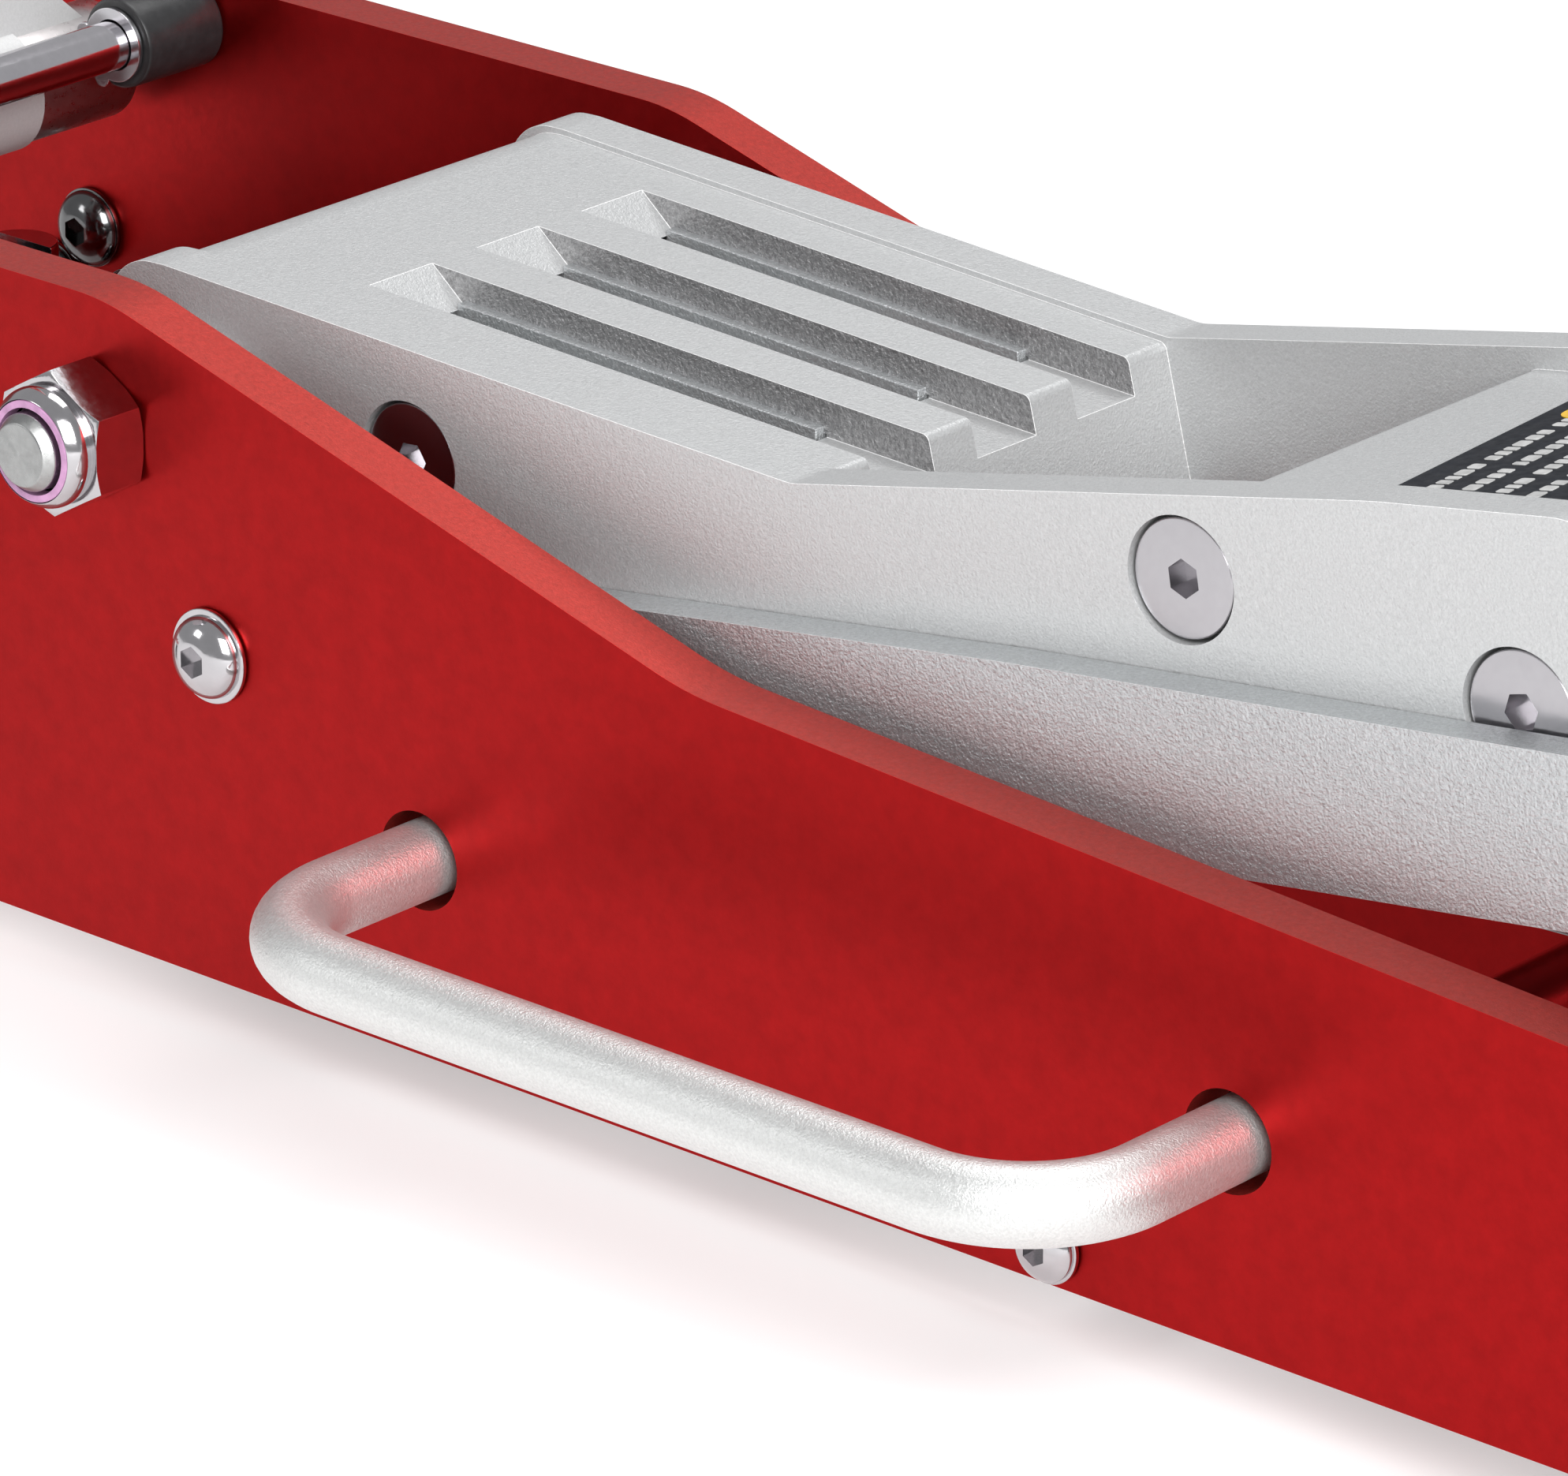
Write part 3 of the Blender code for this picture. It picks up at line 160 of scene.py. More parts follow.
def clean(mesh, distance=1e-6, flat=True):
    """Welds a mesh, makes one face of each flat area, and points its faces outwards."""
    work = bmesh.new()
    work.from_mesh(mesh)
    bmesh.ops.remove_doubles(work, verts=work.verts, dist=distance)
    if flat:
        bmesh.ops.dissolve_limit(work, angle_limit=0.002, verts=work.verts, edges=work.edges)
    bmesh.ops.recalc_face_normals(work, faces=work.faces)
    work.to_mesh(mesh)
    work.free()
    return mesh


def smooth(mesh, angle):
    """Shades a mesh smooth, with its edges sharp from an angle."""
    mesh.shade_smooth()
    mesh.set_sharp_from_angle(angle=math.radians(angle))
    return mesh


def combine(mesh, joined=(), cut=(), common=()):
    """The mesh with shapes joined to it, then others cut from it, then only what it shares with the rest."""
    others = []
    modifiers = []
    for operation, shapes in (("UNION", joined), ("DIFFERENCE", cut), ("INTERSECT", common)):
        for shape in shapes:
            others.append(new_object("other", shape))
            settings = {"operation": operation, "object": others[-1], "solver": "EXACT"}
            modifiers.append(("BOOLEAN", settings))
    result = evaluated(mesh, *modifiers)
    for other in others:
        bpy.data.objects.remove(other)
    return clean(result)


def bevelled(mesh, width, segments=3, angle=30, wear_and_highlight=False):
    """The mesh with rounded edges, which take the second material when asked: a lighter edge colour, partly
    wear and partly a painted highlight.
    """
    settings = {"width": width, "segments": segments}
    settings.update(limit_method="ANGLE", angle_limit=math.radians(angle))
    if wear_and_highlight:
        while len(mesh.materials) < 2:
            mesh.materials.append(None)
        settings["material"] = 1
    return evaluated(mesh, ("BEVEL", settings))


def softened(mesh, width, segments=3, angle=30, wear_and_highlight=False):
    """The mesh with rounded edges and flat-looking faces."""
    result = smooth(bevelled(mesh, width, segments, angle, wear_and_highlight), 50)
    return evaluated(result, ("WEIGHTED_NORMAL", {"keep_sharp": True, "weight": 80}))


def at(mesh, position=(0, 0, 0), rotation=(0, 0, 0)):
    """Moves and turns a mesh in place."""
    turn = Euler([math.radians(angle) for angle in rotation]).to_matrix().to_4x4()
    mesh.transform(Matrix.Translation(Vector(position)) @ turn)
    return mesh


TURN = {
    "Z": Matrix(),
    "Y": Matrix.Rotation(math.radians(-90), 3, "X"),
    "X": Matrix.Rotation(math.radians(90), 3, "Y"),
}


def cylinder(radius, length, along="Y", sides=64, top_radius=None):
    work = bmesh.new()
    bmesh.ops.create_cone(
        work, cap_ends=True, segments=sides, depth=length,
        radius1=radius, radius2=radius if top_radius is None else top_radius,
    )
    bmesh.ops.transform(work, matrix=TURN[along].to_4x4(), verts=work.verts)
    return finished(work, "cylinder")


def block(size_x, size_y, size_z):
    work = bmesh.new()
    bmesh.ops.create_cube(work, size=1)
    bmesh.ops.scale(work, vec=(size_x, size_y, size_z), verts=work.verts)
    return finished(work, "block")


def turned(profile, along="Z", sides=64, closed=False, angle=28):
    """A turned shape. The profile's (radius, height) points run down the outer side."""
    work = bmesh.new()
    points = [work.verts.new((radius, 0, height)) for radius, height in profile]
    edges = list(zip(points, points[1:]))
    if closed:
        edges.append((points[-1], points[0]))
    for edge in edges:
        work.edges.new(edge)
    screw = {"steps": sides, "render_steps": sides, "use_merge_vertices": True, "merge_threshold": 1e-6}
    shape = clean(evaluated(finished(work, "profile"), ("SCREW", screw)), 1e-7, flat=False)
    shape.transform(TURN[along].to_4x4())
    return smooth(shape, angle)


def mirrored(half):
    """A profile that ends above its middle, followed by its mirror image."""
    return half + [(radius, -height) for radius, height in reversed(half)]


def eased(profile, radius, steps=3):
    """The profile with each of its corners turned into a small arc."""
    points = [Vector(point) for point in profile]
    result = [points[0]]
    for before, corner, after in zip(points, points[1:], points[2:]):
        back, ahead = before - corner, after - corner
        reach = min(radius, back.length * 0.45, ahead.length * 0.45)
        if reach < 1e-5 or back.angle(ahead) > math.radians(170):
            result.append(corner)
            continue
        start, end = corner + back.normalized() * reach, corner + ahead.normalized() * reach
        for number in range(steps + 1):
            share = number / steps
            low = start.lerp(corner, share)
            result.append(low.lerp(corner.lerp(end, share), share))
    return [tuple(point) for point in result + [points[-1]]]


def arc(centre, radius, first, last, steps):
    """Points of an arc in the XZ plane, angles in degrees from +X towards +Z."""
    angles = [math.radians(first + (last - first) * number / steps) for number in range(steps + 1)]
    return [(centre[0] + radius * math.cos(a), centre[1] + radius * math.sin(a)) for a in angles]


def rounded(corners, step=5):
    """The outline through (x, z, radius) corners, each corner an arc."""
    points = []
    count = len(corners)
    for index, (x, z, radius) in enumerate(corners):
        corner = Vector((x, z))
        back = (Vector(corners[index - 1][:2]) - corner).normalized()
        ahead = (Vector(corners[(index + 1) % count][:2]) - corner).normalized()
        opening = back.angle(ahead)
        if radius == 0 or math.pi - opening < 1e-3:
            points.append(tuple(corner))
            continue
        reach = radius / math.tan(opening / 2)
        start, end = corner + back * reach, corner + ahead * reach
        centre = corner + (back + ahead).normalized() * (radius / math.sin(opening / 2))
        first = math.atan2(start.y - centre.y, start.x - centre.x)
        last = math.atan2(end.y - centre.y, end.x - centre.x)
        sweep = (last - first + math.pi) % (2 * math.pi) - math.pi
        steps = max(2, math.ceil(math.degrees(math.pi - opening) / step))
        points += arc(centre, radius, math.degrees(first), math.degrees(first + sweep), steps)
    return points


def polyline(points, cyclic, **settings):
    """A curve of straight lines through (x, y, z) points."""
    curve = bpy.data.curves.new("polyline", "CURVE")
    for key, value in settings.items():
        setattr(curve, key, value)
    spline = curve.splines.new("POLY")
    spline.points.add(len(points) - 1)
    for point, position in zip(spline.points, points):
        point.co = (*position, 1)
    spline.use_cyclic_u = cyclic
    return evaluated(curve)


def prism(outline, thickness):
    """A flat outline in the XZ plane, extruded along Y about y = 0."""
    points = [(x, z, 0) for x, z in outline]
    mesh = clean(polyline(points, True, dimensions="2D", fill_mode="BOTH", extrude=thickness / 2))
    mesh.transform(Matrix.Rotation(math.radians(90), 4, "X"))
    return mesh


def bent_bar(path, radius, resolution=10):
    """A round bar along a polyline, with flat ends."""
    settings = {"bevel_depth": radius, "bevel_resolution": resolution, "use_fill_caps": True}
    return smooth(polyline(path, False, dimensions="3D", **settings), 50)


def shift(points, across, up):
    return [(x + across, z + up) for x, z in points]


def bore(radius, point, y=0.0, length=0.5, along="Y", sides=64):
    return at(cylinder(radius, length, along, sides), (point[0], y, point[1]))


def bore_up(radius, x, y, z, length, sides=48):
    return at(cylinder(radius, length, "Z", sides), (x, y, z))


# ---- Materials ----
class Graph:
    """Builds one procedural material node by node, on object coordinates."""

    def __init__(self, name, colour, roughness, metallic, **settings):
        self.material = bpy.data.materials.new(name)
        self.material.use_nodes = True
        self.tree = self.material.node_tree
        self.shader = self.tree.nodes["Principled BSDF"]
        self.coordinates = self.tree.nodes.new("ShaderNodeTexCoord").outputs["Object"]
        self.set("Base Color", (*colour, 1))
        self.set("Roughness", roughness)
        self.set("Metallic", metallic)
        for key, value in settings.items():
            self.set(key.replace("_", " ").title().replace("Ior", "IOR"), value)

    def set(self, socket, value):
        self.shader.inputs[socket].default_value = value

    def link(self, source, target):
        self.tree.links.new(source, target)

    def node(self, kind, **values):
        made = self.tree.nodes.new(kind)
        for key, value in values.items():
            setattr(made, key, value)
        return made

    def noise(self, scale, detail=4.0, roughness=0.55):
        texture = self.node("ShaderNodeTexNoise")
        texture.inputs["Scale"].default_value = scale
        texture.inputs["Detail"].default_value = detail
        texture.inputs["Roughness"].default_value = roughness
        self.link(self.coordinates, texture.inputs["Vector"])
        return texture.outputs["Fac"]

    def rings(self, direction, scale, distortion=0.4):
        texture = self.node("ShaderNodeTexWave", wave_type="RINGS", rings_direction=direction)
        texture.inputs["Scale"].default_value = scale
        texture.inputs["Distortion"].default_value = distortion
        self.link(self.coordinates, texture.inputs["Vector"])
        return texture.outputs["Fac"]

    def ramp(self, source, low, high, first, last):
        made = self.node("ShaderNodeMapRange")
        for socket, value in zip(("From Min", "From Max", "To Min", "To Max"), (low, high, first, last)):
            made.inputs[socket].default_value = value
        self.link(source, made.inputs["Value"])
        return made.outputs["Result"]

    def tint(self, source, colours, low=0.35, high=0.65):
        """Colours the surface between two colours by a texture."""
        made = self.node("ShaderNodeValToRGB")
        for element, colour, position in zip(made.color_ramp.elements, colours, (low, high)):
            element.color = (*colour, 1)
            element.position = position
        self.link(source, made.inputs["Fac"])
        self.link(made.outputs["Color"], self.shader.inputs["Base Color"])

    def rough(self, source, first, last, low=0.3, high=0.7):
        self.link(self.ramp(source, low, high, first, last), self.shader.inputs["Roughness"])

    def bump(self, *layers):
        """Height layers, each a texture, a strength and a depth in metres."""
        normal = None
        for source, strength, depth in layers:
            made = self.node("ShaderNodeBump")
            made.inputs["Strength"].default_value = strength
            made.inputs["Distance"].default_value = depth
            self.link(source, made.inputs["Height"])
            if normal:
                self.link(normal, made.inputs["Normal"])
            normal = made.outputs["Normal"]
        self.link(normal, self.shader.inputs["Normal"])


def shades(colour, spread):
    """A darker and a lighter version of a colour."""
    return tuple(c * (1 - spread) for c in colour), tuple(min(1, c * (1 + spread)) for c in colour)


def surface(name, colour, spread, roughness, metallic, tint, rough, bumps, **settings):
    """A material from its colour's spread and the noises of its tint, roughness and height."""
    graph = Graph(name, colour, roughness, metallic, **settings)
    graph.tint(graph.noise(*tint), shades(colour, spread))
    noise, first, last = rough
    graph.rough(graph.noise(*noise), first, last)
    graph.bump(*[(graph.noise(*noise), strength, depth) for noise, strength, depth in bumps])
    return graph.material


def red_anodised():
    bumps = (((2600, 3), 0.2, 0.0001), ((600, 3), 0.06, 0.0002))
    return surface(
        "red_anodised", (0.345, 0.0062, 0.007), 0.09, 0.36, 0.92,
        (150, 6, 0.7), ((500,), 0.33, 0.41), bumps, specular_ior_level=0.3,
    )


def painted_edge_highlight():
    """The plates' rounded edges in a much brighter red: a painted highlight."""
    return surface(
        "red_edge_painted_highlight", (0.78, 0.016, 0.016), 0.15, 0.34, 0.92,
        (400, 5, 0.7), ((500,), 0.3, 0.4), (((1900, 3), 0.3, 0.00008),), specular_ior_level=0.3,
    )


def painted_rim_reflection():
    """The plates' sawn and bevelled rims in a lighter, paler red: a painted reflection of the bright
    surround.
    """
    return surface(
        "red_rim_painted_reflection", (0.46, 0.046, 0.036), 0.12, 0.48, 0.9,
        (900, 5, 0.7), ((700,), 0.42, 0.54), (((1900, 3), 0.5, 0.00014),),
        coat_weight=0.05, coat_roughness=0.35,
    )


def cast(name, colour, roughness, metallic, grain, depth, spread=0.04):
    """Cast and silver-painted aluminium with a pebbled skin."""
    bumps = (((grain, 3, 0.55), 0.9, depth), ((grain * 0.35, 3), 0.35, depth * 1.5))
    rough = ((grain * 0.5, 4), roughness - 0.05, roughness + 0.07)
    return surface(
        name, colour, spread, roughness, metallic, (grain * 0.8, 4, 0.7), rough, bumps, specular_ior_level=0.4
    )


def metal(name, colour, roughness, spread=0.05, grain=1500, depth=0.00002, rings=None, vary=0.3):
    """Bare or plated metal with fine tool marks and slight stains."""
    graph = Graph(name, colour, roughness, 1.0)
    graph.tint(graph.noise(300, 6, 0.6), shades(colour, spread))
    graph.rough(graph.noise(700, 5, 0.6), roughness * (1 - vary), roughness * (1 + vary))
    layers = [(graph.noise(grain, 3, 0.6), 0.25, depth)]
    if rings:
        layers.append((graph.rings(*rings), 0.25, depth))
    graph.bump(*layers)
    return graph.material


def faced_steel():
    """A lathe-faced end, whose rings stretch the highlights into rays."""
    graph = Graph("faced_steel", (0.4, 0.404, 0.4), 0.3, 1.0, anisotropic=0.85)
    tangent = graph.node("ShaderNodeTangent", direction_type="RADIAL", axis="Y")
    graph.link(tangent.outputs["Tangent"], graph.shader.inputs["Tangent"])
    graph.tint(graph.noise(600, 5), shades((0.4, 0.404, 0.4), 0.06))
    graph.rough(graph.noise(900, 4), 0.25, 0.36)
    graph.bump((graph.rings("Y", 900, 0.1), 0.1, 0.00002))
    return graph.material


def moulded(name, colour, roughness, grain, depth, specular=0.5):
    """Plastic or rubber with a fine moulded skin."""
    rough = ((400, 4), roughness - 0.06, roughness + 0.08)
    bumps = (((grain, 3), 0.5, depth),)
    return surface(name, colour, 0.18, roughness, 0.0, (300, 5), rough, bumps, specular_ior_level=specular)


def gloss_paint(name, colour):
    bumps = (((320, 2), 0.25, 0.00015),)
    return surface(
        name, colour, 0.08, 0.28, 0.0, (90, 5), ((160, 4), 0.22, 0.36), bumps,
        coat_weight=0.5, coat_roughness=0.08,
    )


RED = red_anodised()
# The lighter rim red is a painted reflection.
RED_RIM_REFLECTION = painted_rim_reflection()
# The brighter edge red is a painted highlight.
RED_EDGE_HIGHLIGHT = painted_edge_highlight()
CAST_SMOOTH = cast("cast_smooth", (0.566, 0.572, 0.574), 0.44, 0.55, 1900, 0.00016, 0.07)
CAST_ROUGH = cast("cast_rough", (0.575, 0.594, 0.604), 0.38, 0.78, 1600, 0.00036, 0.13)
# Near-white grey for bevelled edges: partly wear, partly a painted highlight.
CAST_EDGE_WEAR_AND_HIGHLIGHT = cast("cast_edge_wear_and_painted_highlight", (0.9, 0.9, 0.895), 0.36, 0.35, 1500, 0.0003, 0.1)
# Darker grey for the slots' side walls: painted shade in the recesses.
CAST_SLOT_SHADE = cast("cast_slot_painted_shade", (0.4, 0.396, 0.4), 0.38, 0.8, 1300, 0.0006, 0.25)
CAST_WHITE = cast("cast_white", (0.6, 0.6, 0.6), 0.45, 0.3, 2000, 0.00006)
BEAD_BLASTED = cast("bead_blasted", (0.71, 0.715, 0.705), 0.4, 0.78, 2000, 0.00018, 0.08)
BRIGHT = metal("bright_steel", (0.54, 0.525, 0.54), 0.12, 0.03)
HEAD_STEEL = metal("screw_head_steel", (0.47, 0.455, 0.475), 0.24, 0.02, 1800, 0.00001, vary=0.08)
CLIP_STEEL = metal("clip_steel", (0.74, 0.73, 0.76), 0.18, 0.03, vary=0.1)
MACHINED = metal("machined_steel", (0.56, 0.56, 0.565), 0.26, rings=("Y", 620, 0.2))
FACED = faced_steel()
DARK_HEAD = metal("dark_screw_steel", (0.15, 0.15, 0.152), 0.14, 0.06)
# A faintly red grey: the red tint is a painted reflection of the red plates.
HUB_STEEL = metal("hub_steel", (0.48, 0.455, 0.455), 0.3, 0.05, 1800, 0.00001, vary=0.15)
STEEL = metal("steel", (0.33, 0.33, 0.335), 0.36, 0.12)
CHROME = metal("chrome", (0.72, 0.7, 0.73), 0.13, 0.03, depth=0.00001)
BLACK_PLASTIC = moulded("black_plastic", (0.022, 0.022, 0.023), 0.36, 1400, 0.00005)
WHEEL_PLASTIC = moulded("wheel_nylon", (0.03, 0.03, 0.032), 0.42, 900, 0.00008)
RUBBER = moulded("rubber", (0.022, 0.022, 0.023), 0.68, 1100, 0.00012)
PINK_NYLON = moulded("pink_nylon", (0.48, 0.25, 0.43), 0.4, 900, 0.00005)
RED_PAINT = gloss_paint("red_paint", (0.4, 0.01, 0.01))
STICKER_BLACK = moulded("sticker_black", (0.0065, 0.008, 0.013), 0.42, 1200, 0.00002, 0.12)
STICKER_WHITE = moulded("sticker_white", (0.48, 0.48, 0.475), 0.4, 1200, 0.00002)
STICKER_YELLOW = moulded("sticker_yellow", (0.7, 0.42, 0.02), 0.4, 1200, 0.00002)


# ---- Placing ----
def piece(name, mesh, material, body, slot, *nodes, position=(0, 0, 0), rotation=(0, 0, 0), others=()):
    """A shown piece that rides on a body and stands for CAD nodes."""
    obj = new_object(name, mesh)
    numbers = [polygon.material_index for polygon in mesh.polygons]
    mesh.materials.clear()
    mesh.materials.append(material)
    for other in others:
        mesh.materials.append(other)
    if others:
        mesh.polygons.foreach_set("material_index", numbers)
    obj.location = ORIGIN + Vector(position)
    obj.rotation_euler = [math.radians(angle) for angle in rotation]
    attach(obj, body)
    if nodes:
        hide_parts(*nodes)
    return obj


def on_side(side, point, y):
    return (point[0], side * y, point[1])


def fitted(name, mesh, material, side, point, y, *nodes, inward=False):
    """A piece at y on one side of the chassis, its own Z pointing outwards or inwards."""
    turn = 90 * side if inward else -90 * side
    seat = on_side(side, point, y)
    piece(name, mesh, material, "chassis", "bright_steel", *nodes, position=seat, rotation=(turn, 0, 0))


# ---- Fasteners ----
def socketed(mesh, flats, depth, top):
    """The mesh with a hexagon socket in its top."""
    corner = flats / math.sqrt(3)
    return smooth(combine(mesh, cut=[at(cylinder(corner, 2 * depth, "Z", 6), (0, 0, top))]), 28)


def button_screw(head_radius, head_height, flange_radius, shank_radius, shank_length, flats):
    """Domed head on a thin flange above z = 0, shank below."""
    flange = 0.0012
    rise = head_height - flange
    angles = [math.radians(angle) for angle in range(24, 91, 6)]
    dome = [(head_radius * math.sin(angle), flange + rise * math.cos(angle)) for angle in angles]
    rim = [(head_radius, flange), (flange_radius, flange), (flange_radius, 0), (shank_radius, 0)]
    rim = eased(rim, 0.0004)
    profile = [(0, dome[0][1]), *dome, *rim[1:], (shank_radius, -shank_length), (0, -shank_length)]
    return socketed(turned(profile), flats, 0.0032, dome[0][1])


def countersunk_screw():
    """Flat top at z = 0 with a slightly raised lip, cone and shank below."""
    head, shank, length = 0.012, 0.006, 0.018
    profile = [(0, 0), (head - 0.0002, 0), (head, -0.0012), (shank, -0.0072), (shank, -length), (0, -length)]
    return socketed(turned(eased(profile, 0.0005)), 0.0068, 0.0048, 0)


def lock_nut():
    """Hexagon with turned chamfers and a domed collar, its seat at z = 0."""
    corner, height, total, edge = 0.0156, 0.0135, 0.0192, 0.0024
    hexagon = at(cylinder(corner, height, "Z", 6), (0, 0, height / 2))
    profile = [(0, height), (corner - edge, height), (corner + 0.0003, height - edge * 0.62)]
    profile += [(corner + 0.0003, edge * 0.5), (corner - edge * 0.8, 0), (0, 0)]
    body = combine(hexagon, common=[turned(profile, sides=96)])
    collar = 0.0127
    profile = [(0, total), (collar - 0.0022, total), (collar, total - 0.003), (collar, height - 0.002)]
    profile = eased(profile + [(0, height - 0.002)], 0.0014, 5)
    over, under = height + 0.0012, height - 0.0003
    neck = turned([(0.0123, over), (0.02, over), (0.02, under), (0.0123, under)], closed=True)
    nut = combine(body, [turned(profile)], [cylinder(0.0108, 0.1, "Z")])
    return softened(combine(nut, cut=[neck]), 0.00035, 2, 35)


# ---- Chassis ----
def side_plate(name, side):
    outline = rounded(
        [
            (PLATE_REAR_X, 0, 0.018), (PLATE_FRONT_X, 0, 0.018), (PLATE_FRONT_X, PLATE_NOSE_Z, 0.034),
            (*FRONT_KNEE, 0.08), (*REAR_KNEE, 0.06), (PLATE_REAR_X, REAR_KNEE[1], 0.035),
        ],
        step=3,
    )
    holes = [(ARM_SHAFT, 0.0093), (ROD_ANCHOR, 0.0053), (TIE_BAR, 0.0043), (STOP_ROD, STOP_ROD_RADIUS + GAP)]
    holes += [(YOKE_SHAFT, 0.0083), (FRONT_AXLE, 0.0083)]
    holes += [((x, CARRY_Z), 0.0104) for x in CARRY_HOLES_X] + [(point, 0.0053) for point in BRACKET_SCREWS]
    bores = [bore(radius, point, sides=48) for point, radius in holes]
    plate = softened(combine(prism(outline, PLATE_THICKNESS), cut=bores), 0.0007, 2, 50)
    # Rim faces take the lighter, paler red, a painted reflection of the bright surround.
    for polygon in plate.polygons:
        facing = abs(polygon.normal.y)
        # Faces between rim and side take the brighter red, a painted highlight on the rounded edges.
        polygon.material_index = 1 if facing < 0.25 else 2 if facing < 0.97 else 0
    piece(
        name + "_plate", plate, RED, "chassis", "red_anodised", name + "_side_plate",
        position=(0, side * (PLATE_HALF_WIDTH - PLATE_THICKNESS / 2), 0), others=(RED_RIM_REFLECTION, RED_EDGE_HIGHLIGHT),
    )


def carry_handle(name, side):
    first, last = CARRY_HOLES_X
    leg_end = PLATE_INNER + 0.001
    turn = CARRY_REACH - CARRY_BEND
    path = [(first, leg_end)] + arc((first + CARRY_BEND, turn), CARRY_BEND, 180, 90, 24)
    path += arc((last - CARRY_BEND, turn), CARRY_BEND, 90, 0, 24) + [(last, leg_end)]
    bar = bent_bar([(x, side * y, 0) for x, y in path], 0.008, 14)
    piece(
        name + "_handle_bar", bar, BEAD_BLASTED, "chassis", "satin_aluminium", name + "_carry_handle",
        position=(0, 0, CARRY_Z),
    )
    washer = eased([(0.0042, 0.0016), (0.012, 0.0016), (0.012, 0), (0.0042, 0)], 0.0003)
    head = button_screw(0.0068, 0.0026, 0.0072, 0.004, 0.004, 0.005)
    for number, x in enumerate(CARRY_HOLES_X, 1):
        point, seat = (x, CARRY_Z), PLATE_INNER - GAP
        ring = turned(washer, closed=True)
        fitted(f"{name}_handle_washer_{number}", ring, BRIGHT, side, point, seat, inward=True)
        fitted(f"{name}_handle_screw_{number}", head.copy(), BRIGHT, side, point, seat - 0.0017, inward=True)


def shaft(name, radius, half_length, point, material, body, slot, node, chamfer=0.0012):
    half = [(0, half_length), (radius - chamfer, half_length), (radius, half_length - chamfer), (radius, 0.0)]
    profile = mirrored(eased(half, 0.0004)[:-1])
    seat = (point[0], 0, point[1])
    return piece(name, turned(profile, "Y"), material, body, slot, node, position=seat)


def arm_shaft():
    """The shaft, with a turned neck and chamfer outside each nut, and the nuts and their rings."""
    end, neck, neck_end = ARM_SHAFT_END, ARM_SHAFT_RADIUS - 0.0008, 0.1058
    half = [(0, end), (0.0066, end), (neck, end - 0.0022), (neck, 0.106)]
    half += [(ARM_SHAFT_RADIUS, 0.1054), (ARM_SHAFT_RADIUS, 0)]
    mesh = turned(mirrored(eased(half, 0.0003)[:-1]), "Y", 96)
    for polygon in mesh.polygons:
        polygon.material_index = int(abs(polygon.center.y) > neck_end)
    piece(
        "arm_shaft", mesh, MACHINED, "chassis", "bright_steel", "lift_arm_shaft",
        position=(0, 0, ARM_SHAFT[1]), others=(FACED,),
    )
    nut = lock_nut()
    ring = eased([(0.0091, 0.0006), (0.0106, 0.0006), (0.0106, -0.003), (0.0091, -0.003)], 0.0003)
    seat = PLATE_HALF_WIDTH + GAP
    for name, side in SIDES:
        fitted(name + "_lock_nut", nut.copy(), BRIGHT, side, ARM_SHAFT, seat, name + "_shaft_nut")
        inset = turned(ring, closed=True)
        fitted(name + "_nylon_ring", inset, PINK_NYLON, side, ARM_SHAFT, seat + 0.0181)


def rod_anchors():
    screw = button_screw(0.00875, 0.0062, 0.01, 0.005, 0.026, 0.006)
    inner_end = 0.0265
    length = PLATE_INNER - GAP - inner_end
    pin = eased([(0, length / 2), (0.007, length / 2), (0.007, -length / 2), (0, -length / 2)], 0.0006)
    for name, side in SIDES:
        piece(
            name + "_anchor_pin", turned(pin, "Y"), STEEL, "chassis", "steel", name + "_rod_anchor_pin",
            position=on_side(side, ROD_ANCHOR, inner_end + length / 2),
        )
        node = name + "_anchor_screw"
        fitted(name + "_anchor_button", screw.copy(), BRIGHT, side, ROD_ANCHOR, PLATE_HALF_WIDTH + GAP, node)


def tie_bar():
    shaft("tie_bar", 0.0095, PLATE_INNER - GAP, TIE_BAR, CHROME, "chassis", "chrome", "front_tie_bar")
    screw = button_screw(0.007, 0.005, 0.0076, 0.004, 0.026, 0.005)
    for name, side in SIDES:
        node = name + "_tie_screw"
        fitted(name + "_tie_button", screw.copy(), BRIGHT, side, TIE_BAR, PLATE_HALF_WIDTH + GAP, node)


def circlip():
    """An open spring ring with two eared ends."""
    opening, inner, outer = 33, STOP_ROD_RADIUS + GAP, 0.0084
    outline = arc((0, 0), outer, 90 + opening, 450 - opening, 48)
    outline += arc((0, 0), inner, 450 - opening, 90 + opening, 48)
    ears = []
    for sign in (-1, 1):
        direction = math.radians(90 + sign * (opening + 4))
        reach = outer + 0.0006
        tip = (reach * math.cos(direction), 0, reach * math.sin(direction))
        ears.append(at(cylinder(0.0021, 0.0012, "Y", 32), tip))
    return softened(combine(prism(outline, 0.0012), ears), 0.0003, 3)


